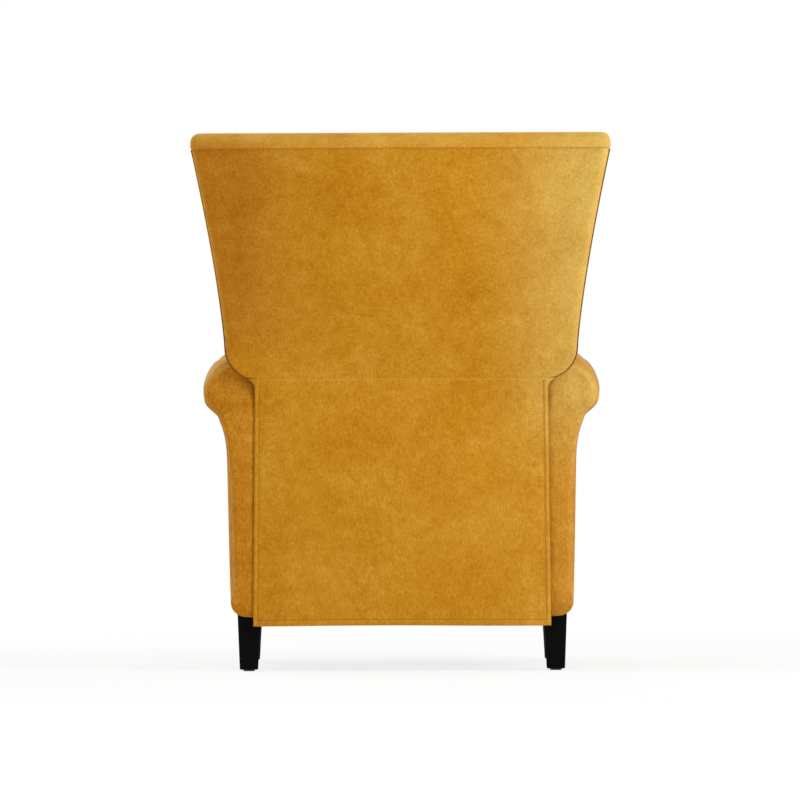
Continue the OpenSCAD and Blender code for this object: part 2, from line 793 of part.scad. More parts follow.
function drawn(z, z0, z1) = let (t = 1 - min(1, min(z - z0, z1 - z) / pad_edge))
  pad_edge * (1 - sqrt(1 - t * t));
module pad_skin(z0, z1, wide) {
  skin([
    for (z = pad_levels(z0, z1, wide))
      let (
        e = drawn(z, z0, z1),
        f = (z - z0) / (z1 - z0),
        yr = rear_y(min(z, roll_seam)) - shell_t - soft_gap - (z > roll_seam ? 1 : 0),
        full = wide ? 8 * sin(180 * f) - 20 * f * f : lumbar * sin(180 * f),
        d = pad_t + full - 0.8 * e - (wide ? dip(z) : 0),
        w = (wide ? half_at(min(z, roll_seam)) - pad_side : stile_out - 3) - e
      )
        pad_ring_z(z, w, yr - d, yr, min(26, d * 0.5), pad_crown * (1 - e / pad_edge))
  ]);
}

// Flap: lined cloth that hangs from the back's lower seam, with a turned hem
module flap() {
  w0 = flap_half;
  w1 = flap_half + flap_flare;
  h = hinge_z - flap_z;
  translate([0, flap_y + flap_t / 2, 0]) rotate([90, 0, 0]) difference() {
    linear_extrude(flap_t)
      polygon([
        [-w1, flap_z], [w1, flap_z],
        [w0, hinge_z - 1.35 * flap_ear], [w0 + 0.45 * flap_ear, hinge_z - 0.6 * flap_ear],
        [w0 + flap_ear, hinge_z], [-w0 - flap_ear, hinge_z],
        [-w0 - 0.45 * flap_ear, hinge_z - 0.6 * flap_ear], [-w0, hinge_z - 1.35 * flap_ear]
      ]);
    translate([0, 0, -1]) linear_extrude(1.6)
      polygon([
        [-w1 + 8, flap_z + 11], [w1 - 8, flap_z + 11],
        [w0 - 8, hinge_z - 9], [-w0 + 8, hinge_z - 9]
      ]);
  }
  rod([flap_y, hinge_z], -w0, w0, flap_t / 2);
}

color(velvet_side) flip(1) arm();  // arm_left
color(velvet_side) flip(-1) arm();  // arm_right
color(velvet) flip(1) facing();  // arm_facing_left
color(velvet) flip(-1) facing();  // arm_facing_right
color(beech) flip(1) sill_block(0, 0);  // sill_left
color(beech) flip(-1) sill_block(0, 0);  // sill_right
color(beech) cross_rail(swing_base[0] - 14, leg_h + rail_up, rail_h);  // front_rail
color(beech)  // rear_rail
  cross_rail(arm_rear - rear_rail_in, leg_h + rail_up, rear_rail_h);
color(black) flip(1) leg(true);  // leg_front_left
color(black) flip(-1) leg(true);  // leg_front_right
color(black) flip(1) leg(false);  // leg_rear_left
color(black) flip(-1) leg(false);  // leg_rear_right
color(dark_steel) glide_set();  // glides
color(dark_steel) flip(1) base_plate();  // base_plate_left
color(dark_steel) flip(-1) base_plate();  // base_plate_right
color(steel) flip(1) swing_link();  // swing_link_left
color(steel) flip(-1) swing_link();  // swing_link_right
color(steel) swing_cross();  // swing_tube
color(steel) flip(1) seat_plate();  // seat_plate_left
color(steel) flip(-1) seat_plate();  // seat_plate_right
color(beech) flip(1) side_rail();  // seat_rail_left
color(beech) flip(-1) side_rail();  // seat_rail_right
color(beech) tie_rail(-rail_front, seat_front_t, front_rail_z);  // seat_rail_front
color(beech) tie_rail(guide_rest[0] - 6, seat_rear_t, seat_rail_top - seat_rail_h);  // seat_rail_rear
color(velvet) apron();  // seat_apron
color(dark_steel)  // seat_springs
  for (i = [0:spring_n - 1]) spring((i - (spring_n - 1) / 2) * spring_pitch);
color(velvet) cushion();  // seat_cushion
color(steel) flip(1) long_link();  // long_link_left
color(steel) flip(-1) long_link();  // long_link_right
color(steel) scissor_cross();  // scissor_tube
color(steel) flip(1) cross_link();  // cross_link_left
color(steel) flip(-1) cross_link();  // cross_link_right
color(steel) flip(1) end_link();  // end_link_left
color(steel) flip(-1) end_link();  // end_link_right
color(dark_steel) flip(1) foot_bracket();  // foot_bracket_left
color(dark_steel) flip(-1) foot_bracket();  // foot_bracket_right
color(beech) board();  // foot_board
color(velvet) foot_pad();  // foot_cushion
color(dark_steel) flip(1) back_bracket();  // back_bracket_left
color(dark_steel) flip(-1) back_bracket();  // back_bracket_right
color(beech) flip(1) stile(0);  // back_stile_left
color(beech) flip(-1) stile(0);  // back_stile_right
color(beech) low_rail(0);  // back_rail_low
color(beech) high_rail(0);  // back_rail_high
color(velvet) shell();  // back_shell
color(velvet) pad_skin(wing_z, pad_top, true);  // back_pad
color(velvet)  // lumbar_pad
  pad_skin(pad_z, wing_z - soft_gap, false);
color(velvet) flap();  // rear_flap
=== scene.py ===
# High-leg push-back recliner in mustard velvet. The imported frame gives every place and
# size; each section below dresses one piece of the chair, in the order it is put together.
from math import sin, cos, pi, radians, sqrt, exp, hypot

import bpy
import bmesh
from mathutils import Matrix, Quaternion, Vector
from mathutils.bvhtree import BVHTree


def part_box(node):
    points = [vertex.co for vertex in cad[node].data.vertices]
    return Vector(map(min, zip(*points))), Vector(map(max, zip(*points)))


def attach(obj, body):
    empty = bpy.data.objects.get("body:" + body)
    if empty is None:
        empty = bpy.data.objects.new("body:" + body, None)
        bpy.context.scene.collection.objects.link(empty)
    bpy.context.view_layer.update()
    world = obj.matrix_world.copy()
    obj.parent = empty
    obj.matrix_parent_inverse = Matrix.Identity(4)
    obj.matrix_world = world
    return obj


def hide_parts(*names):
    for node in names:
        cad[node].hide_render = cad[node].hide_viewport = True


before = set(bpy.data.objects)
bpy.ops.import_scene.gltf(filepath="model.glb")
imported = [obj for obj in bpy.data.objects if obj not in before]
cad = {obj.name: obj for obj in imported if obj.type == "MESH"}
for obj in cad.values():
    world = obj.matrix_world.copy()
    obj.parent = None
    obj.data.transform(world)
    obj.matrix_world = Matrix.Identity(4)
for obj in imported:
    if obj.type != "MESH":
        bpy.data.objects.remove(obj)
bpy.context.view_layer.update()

# ---- Studio -----------------------------------------------------------------------------
# The chair stands on a plain white floor and is seen from straight behind, through a very
# long lens a little above the floor, with a soft lamp to the upper right of that view.
scene = bpy.context.scene
scene.view_settings.view_transform = "Standard"

aim = Vector((0.0027, 0.30, 0.5182))
camera_away, camera_rise, camera_roll = 45.0, radians(1.2), radians(0.22)
half_view = 0.7644  # from the middle of the picture to its side, at the chair's rear
lens_data = bpy.data.cameras.new("camera")
lens_data.sensor_width = 36
lens_data.lens = lens_data.sensor_width / 2 * camera_away / half_view
lens_data.clip_end = 300
camera = bpy.data.objects.new("camera", lens_data)
scene.collection.objects.link(camera)
sight = Vector((0, cos(camera_rise), sin(camera_rise)))
camera.location = aim + camera_away * sight
camera.rotation_mode = "QUATERNION"
camera.rotation_quaternion = (-sight).to_track_quat("-Z", "Y") @ Quaternion((0, 0, 1), -camera_roll)
scene.camera = camera


def finish_of(name):
    """A new material, its node tree, the output there, and the points that a pattern reads."""
    material = bpy.data.materials.new(name)
    material.use_nodes = True
    tree = material.node_tree
    tree.nodes.clear()
    output = tree.nodes.new("ShaderNodeOutputMaterial")
    return material, tree, output, tree.nodes.new("ShaderNodeTexCoord").outputs


def add(tree, kind, settings=None, **sockets):
    """A node with its settings. A socket takes a value or an output, and is named (with _ for a
    space) or numbered, as i0 or i1, where names are repeated."""
    made = tree.nodes.new("ShaderNode" + kind)
    for key, value in (settings or {}).items():
        setattr(made, key, value)
    for key, value in sockets.items():
        numbered = key[0] == "i" and key[1:].isdigit()
        socket = made.inputs[int(key[1:]) if numbered else key.replace("_", " ")]
        if isinstance(value, bpy.types.NodeSocket):
            tree.links.new(value, socket)
        else:
            socket.default_value = value
    return made


def surfaced(tree, output, **sockets):
    """The shader of a finish, linked to the finish's output."""
    shader = add(tree, "BsdfPrincipled", **sockets)
    tree.links.new(shader.outputs[0], output.inputs["Surface"])


def worked_out(tree, operation, a, b, **settings):
    """The result of one Math node."""
    return add(tree, "Math", {"operation": operation, **settings}, i0=a, i1=b).outputs[0]


def seen_directly(tree):
    """1 for what the camera, a reflection or a clear piece sees, 0 for what lights the chair."""
    path = add(tree, "LightPath").outputs
    seen = worked_out(tree, "MAXIMUM", path["Is Camera Ray"], path["Is Glossy Ray"])
    return worked_out(tree, "MAXIMUM", seen, path["Is Transmission Ray"])


def piece_from(name, bm, material=None, smooth=True):
    """The finished object of a bmesh, at the origin, in one material."""
    mesh = bpy.data.meshes.new(name)
    bm.to_mesh(mesh)
    bm.free()
    for face in mesh.polygons:
        face.use_smooth = smooth
    made = bpy.data.objects.new(name, mesh)
    scene.collection.objects.link(made)
    if material:
        mesh.materials.append(material)
    return made


# The floor is painted near the chair, where its shadow falls, and fades to plain white.
floor_radius, fade_from, fade_to = 60, 0.9, 2.6
floor_white, tree, output, place = finish_of("floor_white")
far = add(tree, "VectorMath", {"operation": "LENGTH"}, i0=place["Object"])
fade = add(
    tree, "MapRange", {"interpolation_type": "SMOOTHSTEP"}, Value=far.outputs["Value"],
    From_Min=fade_from, From_Max=fade_to, To_Min=0.82, To_Max=1.0,
)
painted = add(tree, "BsdfDiffuse", Color=(0.9, 0.9, 0.9, 1))
glow = add(tree, "Emission", Color=(1, 1, 1, 1), Strength=1.0)
kept = add(tree, "MixShader", i0=fade.outputs[0], i1=painted.outputs[0], i2=glow.outputs[0])
shown = add(tree, "MixShader", i0=seen_directly(tree), i1=painted.outputs[0], i2=kept.outputs[0])
tree.links.new(shown.outputs[0], output.inputs["Surface"])
bm = bmesh.new()
bmesh.ops.create_circle(bm, cap_ends=True, segments=96, radius=floor_radius)
floor = piece_from("floor", bm, floor_white, smooth=False)

world = bpy.data.worlds.new("studio")
scene.world = world
world.use_nodes = True
tree = world.node_tree
tree.nodes.clear()
plain = add(tree, "Background", Color=(1, 1, 1, 1), Strength=1.0)
soft = add(tree, "Background", Color=(1.0, 0.99, 0.97, 1), Strength=0.50)
both = add(tree, "MixShader", i0=seen_directly(tree), i1=soft.outputs[0], i2=plain.outputs[0])
tree.links.new(both.outputs[0], add(tree, "OutputWorld").inputs["Surface"])


def lamp(name, spot, size, power, tint=(1, 1, 1)):
    """A square lamp turned to the middle of the chair."""
    data = bpy.data.lights.new(name, "AREA")
    data.size, data.energy, data.color = size, power, tint
    made = bpy.data.objects.new(name, data)
    made.location = spot
    chair_middle = Vector((0, 0, 0.55))
    made.rotation_euler = (Vector(spot) - chair_middle).to_track_quat("Z", "Y").to_euler()
    scene.collection.objects.link(made)


lamp("key_lamp", (-1.85, 1.55, 1.65), 1.3, 40, (1.0, 0.99, 0.96))
lamp("over_lamp", (1.3, 1.1, 2.6), 1.6, 10, (1.0, 0.98, 0.96))
lamp("front_lamp", (1.9, -3.0, 2.7), 2.0, 62, (1.0, 0.99, 0.97))
lamp("side_lamp", (3.0, 1.0, 1.5), 2.2, 10)

# ---- Velvet -----------------------------------------------------------------------------
# Cover cloth of the whole chair: a short-pile mustard velvet with a slubbed weft. Crushed
# pile makes cloudy patches, and the slubs show as short dashes that lie across the chair.
# Light is also painted into the colour: the rear is paler at the arm towards the key lamp, with
# painted shade on the back's far side, and faces that look up get a painted sheen.
def noise(tree, where, size, detail=2.0, **more):
    """A noise's value at each point; a larger size makes a finer pattern."""
    return add(tree, "TexNoise", Vector=where, Scale=size, Detail=detail, **more).outputs[0]


def drawn_out(tree, where, scale):
    """The points scaled along each axis, so that a pattern on them has a grain."""
    return add(tree, "Mapping", Vector=where, Scale=scale).outputs[0]


def toned(tree, value, low, high, start=0.0, end=1.0, between=()):
    """From the colour low to high as the value goes from start to end, by the tones between."""
    made = add(tree, "ValToRGB", Fac=value)
    stops = made.color_ramp.elements
    stops[0].position, stops[0].color = start, (*low, 1)
    stops[1].position, stops[1].color = end, (*high, 1)
    for where, tone in between:
        stops.new(where).color = (*tone, 1)
    return made.outputs[0]


def bumped(tree, height, strength, distance):
    """A fine relief from a pattern's value."""
    return add(tree, "Bump", Strength=strength, Distance=distance, Height=height).outputs[0]


def mixed(tree, a, b, share):
    """The value from a to b by share."""
    return add(tree, "Mix", {"data_type": "FLOAT"}, i0=share, i2=a, i3=b).outputs[0]


def grows(tree, value, start, end, low=0.0, high=1.0, rise="SMOOTHSTEP"):
    """From low to high as the value goes from start to end."""
    return add(
        tree, "MapRange", {"interpolation_type": rise}, Value=value, From_Min=start,
        From_Max=end, To_Min=low, To_Max=high,
    ).outputs[0]


slub_size, end_size, pile_size = 460.0, 380.0, 1500.0
# Pale tones for painted light and painted sheen, mixed in on the rear towards the key lamp.
painted_light_low, painted_light_high = (0.545, 0.330, 0.060), (0.685, 0.482, 0.125)
# A tint multiplied into the colour as painted shade, on the back's side away from the key lamp.
painted_shade_tint = (0.86, 0.74, 0.80, 1)


def velvet_cloth(name, tones, shift):
    """Velvet in four tones, dark to light; shift moves its pattern, so that pieces differ."""
    material, tree, output, place = finish_of(name)
    shifted = add(tree, "Mapping", Vector=place["Object"], Location=shift).outputs[0]
    facing = add(tree, "SeparateXYZ", Vector=place["Normal"]).outputs
    spot = add(tree, "SeparateXYZ", Vector=place["Object"]).outputs

    def times(a, b):
        return worked_out(tree, "MULTIPLY", a, b, use_clamp=True)

    def threads(upright, flat, size, detail, rough):
        """Noise drawn out one way on upright faces, and another on level ones."""
        on_upright = noise(tree, drawn_out(tree, shifted, upright), size, detail, Roughness=rough)
        on_flat = noise(tree, drawn_out(tree, shifted, flat), size, detail, Roughness=rough)
        return mixed(tree, on_upright, on_flat, level)

    level = times(facing["Z"], facing["Z"])
    clouds = noise(tree, shifted, 8.0, 3.0, Roughness=0.55, Distortion=0.5)
    patches = noise(tree, shifted, 46.0, 4.0, Roughness=0.62, Distortion=0.3)
    slubs = threads((0.28, 0.28, 1.0), (0.28, 1.0, 0.28), slub_size, 2.0, 0.6)
    ends = threads((1.0, 1.0, 0.3), (1.0, 0.3, 1.0), end_size, 1.0, 0.5)
    pile = noise(tree, shifted, pile_size, 1.0, Roughness=0.5)
    grain = mixed(tree, slubs, ends, 0.52)

    # The grain marks the cloth more than a plain mix would, about its own middle value.
    marked = add(tree, "Math", {"operation": "MULTIPLY_ADD"}, i0=grain, i1=0.23, i2=-0.115)
    soft_shade = mixed(tree, mixed(tree, clouds, patches, 0.5), grain, 0.42)
    shade = worked_out(tree, "ADD", soft_shade, marked.outputs[0])
    between = ((0.46, tones[1]), (0.54, tones[2]))
    ramp = toned(tree, shade, tones[0], tones[3], 0.36, 0.64, between)

    # Painted light: the rear is painted paler towards the key lamp's side (-X), and a little on
    # whatever faces up as painted sheen; painted shade darkens the other side of the back.
    rear_edge = times(grows(tree, spot["Y"], 0.270, 0.294), grows(tree, facing["Y"], -0.35, 0.10))
    outside = worked_out(tree, "MAXIMUM", grows(tree, facing["Y"], 0.05, 0.75), rear_edge)
    painted_light_to_lamp = grows(tree, spot["X"], -0.12, -0.44)
    height_share = grows(tree, spot["Z"], 0.34, 0.56, 0.22, 1.0)
    crest_share = grows(tree, spot["Z"], 0.62, 0.95, 0.22, 0.33, rise="LINEAR")
    painted_top_sheen = times(grows(tree, facing["Z"], -0.12, 0.75), crest_share)
    painted_light_share = worked_out(tree, "MAXIMUM", times(times(painted_light_to_lamp, outside), height_share), painted_top_sheen)
    # Painted shade: the back's rear face darker towards +X, away from the key lamp, up high.
    painted_shade_side = times(grows(tree, spot["X"], 0.13, 0.33), grows(tree, facing["Y"], 0.50, 0.985))
    deep = times(painted_shade_side, grows(tree, spot["Z"], 0.56, 0.70))
    multiply = {"data_type": "RGBA", "blend_type": "MULTIPLY"}
    with_painted_shade = add(tree, "Mix", multiply, i0=deep, i6=ramp, i7=painted_shade_tint)
    # The painted light follows the cloth's own shade, and is mixed over its colour by share.
    painted_light_tones = toned(tree, shade, painted_light_low, painted_light_high, 0.38, 0.62)
    with_painted_light = add(tree, "Mix", {"data_type": "RGBA"}, i0=painted_light_share, i6=with_painted_shade.outputs[2], i7=painted_light_tones)
    height = mixed(tree, mixed(tree, grain, patches, 0.3), pile, 0.35)
    bump = bumped(tree, height, 0.35, 0.0009)
    rough = grows(tree, shade, 0.35, 0.65, 0.95, 0.78, rise="LINEAR")
    surfaced(
        tree, output, Base_Color=with_painted_light.outputs[2], Roughness=rough, Normal=bump,
        Specular_IOR_Level=0.12, Sheen_Weight=0.26, Sheen_Roughness=0.34,
        Sheen_Tint=(1.0, 0.84, 0.58, 1),
    )
    return material


velvet = velvet_cloth(
    "velvet",
    ((0.440, 0.168, 0.0030), (0.530, 0.222, 0.0072), (0.570, 0.257, 0.0145), (0.640, 0.321, 0.037)),
    (0.3, 1.1, 0.4),
)
velvet_arm = velvet_cloth(
    "velvet_arm",
    ((0.395, 0.132, 0.0024), (0.492, 0.188, 0.0064), (0.548, 0.230, 0.0120), (0.650, 0.312, 0.043)),
    (2.1, 0.2, 1.7),
)
velvet_welt = velvet_cloth(
    "velvet_welt",
    ((0.430, 0.162, 0.0040), (0.545, 0.235, 0.0085), (0.595, 0.277, 0.0155), (0.655, 0.330, 0.045)),
    (5.2, 3.3, 0.9),
)

# ---- Legs -------------------------------------------------------------------------------
# Four square tapered hardwood legs, sprayed satin black, with softly eased edges. Each is
# screwed up into the sill and stands on a nylon glide.
black_lacquer, tree, output, place = finish_of("black_lacquer")
along = drawn_out(tree, place["Object"], (1.0, 1.0, 0.07))
pores = noise(tree, along, 420.0, 3.0, Roughness=0.6)
tone = toned(tree, pores, (0.0012, 0.0012, 0.0012), (0.0030, 0.0028, 0.0027))
gloss = add(tree, "MapRange", Value=pores, To_Min=0.40, To_Max=0.58)
bump = bumped(tree, pores, 0.12, 0.0004)
surfaced(
    tree, output, Base_Color=tone, Roughness=gloss.outputs[0], Normal=bump,
    Specular_IOR_Level=0.045,
)

leg_head, leg_toe, leg_height, glide_height, eased = 0.045, 0.035, 0.111, 0.003, 0.0022
head_inner, toe_inner = 0.270, 0.276
for side, side_name in ((1, "left"), (-1, "right")):
    for end_name, y0 in (("front", -0.359), ("rear", 0.241)):
        bm = bmesh.new()
        bmesh.ops.create_cube(bm, size=1)
        for v in bm.verts:
            top = v.co.z > 0
            width = leg_head if top else leg_toe
            inner = head_inner if top else toe_inner
            v.co = Vector((
                side * (inner + (width if v.co.x > 0 else 0)),
                y0 + (leg_head - width) / 2 + (width if v.co.y > 0 else 0),
                leg_height if top else glide_height,
            ))
        bmesh.ops.recalc_face_normals(bm, faces=bm.faces)
        bmesh.ops.bevel(
            bm, geom=list(bm.edges), offset=eased, segments=3, affect="EDGES", profile=0.5,
            material=-1,
        )
        leg = piece_from(f"{end_name}_leg_{side_name}", bm, black_lacquer)
        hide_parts(f"leg_{end_name}_{side_name}")
        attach(leg, "base")

nylon, tree, output, place = finish_of("nylon")
specks = noise(tree, place["Object"], 260.0, 3.0)
tone = toned(tree, specks, (0.016, 0.016, 0.017), (0.034, 0.034, 0.035))
bump = bumped(tree, specks, 0.15, 0.0003)
surfaced(tree, output, Base_Color=tone, Roughness=0.55, Normal=bump)


def refinish(node, material):
    """Gives a CAD node that stays as it is its real finish."""
    mesh = cad[node].data
    mesh.materials.clear()
    mesh.materials.append(material)


refinish("glides", nylon)

# ---- Timber -----------------------------------------------------------------------------
# Planed beech sills, rails, stiles and the footrest's board, glued and screwed together.
# The boards are unfinished, because cover cloth or shadow hides nearly all of them.
def beech_board(name, along_axis):
    """Beech with its grain along one axis: 0 across the chair, 1 front to rear, 2 upright."""
    material, tree, output, place = finish_of(name)
    ring_scale, fleck_scale = [34.0, 34.0, 34.0], [900.0, 900.0, 900.0]
    ring_scale[along_axis], fleck_scale[along_axis] = 2.2, 45.0
    laid = drawn_out(tree, place["Object"], ring_scale)
    rings = noise(tree, laid, 1.0, 5.0, Roughness=0.6, Distortion=1.4)
    flecks = noise(tree, drawn_out(tree, place["Object"], fleck_scale), 1.0)
    figure = mixed(tree, rings, flecks, 0.32)
    ramp = toned(tree, figure, (0.36, 0.205, 0.098), (0.60, 0.405, 0.225), 0.33, 0.66)
    bump = bumped(tree, figure, 0.25, 0.0005)
    surfaced(tree, output, Base_Color=ramp, Roughness=0.62, Normal=bump)
    return material


beech_across = beech_board("beech_across", 0)
beech_deep = beech_board("beech_deep", 1)
beech_upright = beech_board("beech_upright", 2)
for node in (
    "front_rail", "rear_rail", "seat_rail_front", "seat_rail_rear", "back_rail_low",
    "back_rail_high", "foot_board",
):
    refinish(node, beech_across)
for node in ("sill_left", "sill_right", "seat_rail_left", "seat_rail_right"):
    refinish(node, beech_deep)
for node in ("back_stile_left", "back_stile_right"):
    refinish(node, beech_upright)

# ---- Steel mechanism --------------------------------------------------------------------
# Pressed 4 mm plates and links. Plates that are screwed down are stove-enamelled black, the
# moving links and the cross tubes are zinc plated; the pins are riveted over at their heads.
def steel_finish(name, low, high, metal, rough_low, rough_high):
    """Steel between two tones and two roughnesses, with fine marks from rolling."""
    material, tree, output, place = finish_of(name)
    cloud = noise(tree, place["Object"], 22.0, 5.0, Roughness=0.65)
    rolled = noise(tree, drawn_out(tree, place["Object"], (900.0, 60.0, 900.0)), 1.0)
    marks = mixed(tree, cloud, rolled, 0.4)
    ramp = toned(tree, marks, low, high, 0.3, 0.7)
    gloss = grows(tree, marks, 0.3, 0.7, rough_low, rough_high, rise="LINEAR")
    bump = bumped(tree, rolled, 0.12, 0.0003)
    surfaced(tree, output, Base_Color=ramp, Roughness=gloss, Normal=bump, Metallic=metal)
    return material


black_low, black_high = (0.012, 0.012, 0.013), (0.026, 0.026, 0.028)
zinc_low, zinc_high = (0.38, 0.39, 0.40), (0.60, 0.61, 0.60)
wire_low, wire_high = (0.10, 0.10, 0.105), (0.20, 0.20, 0.205)
enamel_black = steel_finish("enamel_black", black_low, black_high, 0.0, 0.30, 0.46)
zinc_plate = steel_finish("zinc_plate", zinc_low, zinc_high, 1.0, 0.26, 0.44)
spring_wire = steel_finish("spring_wire", wire_low, wire_high, 1.0, 0.32, 0.5)
for side_name in ("left", "right"):
    for node in ("base_plate_", "foot_bracket_", "back_bracket_"):
        refinish(node + side_name, enamel_black)
    for node in ("swing_link_", "seat_plate_", "long_link_", "cross_link_", "end_link_"):
        refinish(node + side_name, zinc_plate)
refinish("swing_tube", zinc_plate)
refinish("scissor_tube", zinc_plate)

# ---- Seat springs -----------------------------------------------------------------------
# Four rows of sinuous spring wire, 4 mm thick, bent back and forth across the seat. Each end
# is held to its rail by a folded steel clip with one screw.
def as_mesh(piece):
    """The piece with its modifiers or bevel applied, as a plain mesh object."""
    bpy.context.view_layer.update()
    graph = bpy.context.evaluated_depsgraph_get()
    mesh = bpy.data.meshes.new_from_object(piece.evaluated_get(graph), depsgraph=graph)
    name, finishes = piece.name, [s.material for s in piece.material_slots]
    old = piece.data
    bpy.data.objects.remove(piece)
    (bpy.data.meshes if isinstance(old, bpy.types.Mesh) else bpy.data.curves).remove(old)
    mesh.name = name
    mesh.materials.clear()
    for material in finishes:
        mesh.materials.append(material)
    for face in mesh.polygons:
        face.use_smooth = True
    made = bpy.data.objects.new(name, mesh)
    scene.collection.objects.link(made)
    return made


def round_rod(name, path, radius, material, closed=False, sides=2):
    """A round rod, wire or covered cord along a path of points."""
    curve = bpy.data.curves.new(name, "CURVE")
    curve.dimensions, curve.bevel_depth, curve.bevel_resolution = "3D", radius, sides
    curve.use_fill_caps = not closed
    spline = curve.splines.new("POLY")
    spline.points.add(len(path) - 1)
    for point, spot in zip(spline.points, path):
        point.co = (*spot, 1)
    spline.use_cyclic_u = closed
    made = bpy.data.objects.new(name, curve)
    scene.collection.objects.link(made)
    curve.materials.append(material)
    return as_mesh(made)


springs_low, springs_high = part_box("seat_springs")
wire_r, wave_half, wave_lean, waves, steps_a_wave = 0.002, 0.024, 0.0035, 6, 24
spread = springs_high.x - springs_low.x - 2 * (wave_half + wire_r)
run = springs_high.y - springs_low.y - 2 * wire_r
wave_steps = waves * steps_a_wave
for row in range(4):
    x = (row - 1.5) * spread / 3
    path = []
    for i in range(wave_steps + 1):
        turn = 2 * pi * waves * i / wave_steps
        y = springs_low.y + wire_r + run * i / wave_steps
        spot = (x + wave_half * sin(turn), y - wave_lean * sin(2 * turn), springs_low.z + wire_r)
        path.append(spot)
    spring = round_rod(f"seat_spring_{row + 1}", path, wire_r, spring_wire, sides=3)
    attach(spring, "seat")
    if row == 0:
        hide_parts("seat_springs")

# ---- Arms -------------------------------------------------------------------------------
# Each arm is a timber box, webbed and foamed, with a rolled top over a soft pad. The cover
# is pulled over the roll, tucked into the cove under it, and padded at the rear.
def stuffed_copy(name, node, inset, voxel, material):
    """A closed skin of even faces over a copy of the node's solid, set in by inset."""
    bm = bmesh.new()
    bm.from_mesh(cad[node].data)
    bmesh.ops.remove_doubles(bm, verts=bm.verts, dist=1e-5)
    bmesh.ops.recalc_face_normals(bm, faces=bm.faces)
    bm.normal_update()
    for v, push in [(v, v.normal.copy()) for v in bm.verts]:
        v.co -= push * inset
    made = piece_from(name, bm, material)
    remesh = made.modifiers.new("even", "REMESH")
    remesh.mode, remesh.voxel_size = "VOXEL", voxel
    return as_mesh(made)


def inflate(piece, pressure, cap, frames=20):
    """Air pressure swells the cover; cap(point) is the furthest that a point may move."""
    before = [v.co.copy() for v in piece.data.vertices]
    cloth = piece.modifiers.new("stuffing", "CLOTH")
    cloth.settings.quality = 4
    cloth.settings.mass = 0.3
    cloth.settings.tension_stiffness = 12
    cloth.settings.compression_stiffness = 12
    cloth.settings.bending_stiffness = 0.8
    cloth.settings.use_pressure = True
    cloth.settings.uniform_pressure_force = pressure
    cloth.settings.effector_weights.gravity = 0
    cloth.collision_settings.use_collision = False
    cloth.point_cache.frame_start, cloth.point_cache.frame_end = 1, frames
    for f in range(1, frames + 1):
        scene.frame_set(f)
    graph = bpy.context.evaluated_depsgraph_get()
    swollen = piece.evaluated_get(graph).data
    after = [v.co.copy() for v in swollen.vertices]
    piece.modifiers.remove(cloth)
    scene.frame_set(1)
    for v, a, b in zip(piece.data.vertices, before, after):
        move = b - a
        most = cap(a)
        v.co = a + (move * (most / move.length) if move.length > most else move)


def surface_of(mesh):
    bm = bmesh.new()
    bm.from_mesh(mesh)
    tree = BVHTree.FromBMesh(bm)
    bm.free()
    return tree


def hold_near(piece, node, sunk, proud):
    """Each point of the cover stays from sunk inside to proud(point) outside the node's solid."""
    shell = surface_of(cad[node].data)
    for v in piece.data.vertices:
        spot, normal, _, gap = shell.find_nearest(v.co)
        most = proud(v.co) if (v.co - spot).dot(normal) > 0 else sunk
        if gap > most:
            v.co = spot + (v.co - spot) * (most / gap)


def relax(piece, times, factor=0.5):
    bm = bmesh.new()
    bm.from_mesh(piece.data)
    for _ in range(times):
        bmesh.ops.smooth_vert(
            bm, verts=bm.verts, factor=factor, use_axis_x=True, use_axis_y=True, use_axis_z=True
        )
    bm.to_mesh(piece.data)
    bm.free()


def subdivided(piece, levels=1):
    smooth = piece.modifiers.new("smooth", "SUBSURF")
    smooth.levels = smooth.render_levels = levels


seat_half, arm_panel, arm_taper, leg_h = 0.250, 0.082, 0.006, 0.111
roll_w, roll_h, arm_top, roll_out = 0.062, 0.068, 0.608, 0.046
arm_front, arm_rear, facing_t, arm_low = 0.383, 0.300, 0.012, 0.103
arm_z, arm_x = arm_top - roll_h, seat_half + arm_panel + roll_out - roll_w


def arm_cap(p):
    """The inner side, the underside and the front can't swell; the roll and the outer side can."""
    if p.x < seat_half + 0.006 or p.z < arm_low + 0.006 or p.y < -arm_front + 0.012:
        return 0.0
    return 0.005


def arm_proud(p):
    """How far the arm's cover may stand outside its form: not at all on the inner side."""
    return 0.0 if p.x < seat_half + 0.02 else 0.0022


arm_left = stuffed_copy("rolled_arm_left", "arm_left", 0.0012, 0.0062, velvet_arm)
relax(arm_left, 3)
inflate(arm_left, 2.5, arm_cap)
hold_near(arm_left, "arm_left", 0.0025, arm_proud)
relax(arm_left, 2)


def step_between(low, high, value):
    """From 0 at low to 1 at high, eased at both ends."""
    t = max(0.0, min(1.0, (value - low) / (high - low)))
    return t * t * (3 - 2 * t)


def swell(middle, width, value):
    """1 at the middle, and a round fall to 0 on both sides of it."""
    return exp(-((value - middle) / width) ** 2)


# The lower corner of the cover is a quarter of an ellipse round (corner_x, corner_z).
corner_x, corner_z, corner_rx, corner_rz = 0.292, arm_low + 0.027, 0.036, 0.027
pull_from, pull_to, pull = 0.172, 0.122, 0.0112
cove_z, cove_width, cove_depth = 0.492, 0.0105, 0.0060
roll_drawn, roll_full = 0.0024, 0.0024


def round_the_sill(x, y, z, n):
    """The cover is pulled down past the sill and round the arm's lower corner."""
    over_sill = 0.266 < x < 0.312 and -0.366 < y < 0.283 and z > 0.119 and n.z < -0.3
    if not over_sill and z < pull_from:
        z -= pull * step_between(pull_from, pull_to, z)
    faces_out = n.x > 0.15 or (n.z < -0.5 and z < arm_low + 0.012)
    if z < 0.165 and x > 0.300 and faces_out:
        if z >= corner_z:
            x += (corner_x + corner_rx - x) * (1 - step_between(0.132, 0.165, z))
        else:
            across, down = (x - corner_x) / corner_rx, (z - corner_z) / corner_rz
            reach = sqrt(across ** 2 + down ** 2)
            x, z = corner_x + (x - corner_x) / reach, corner_z + (z - corner_z) / reach
    return x, z


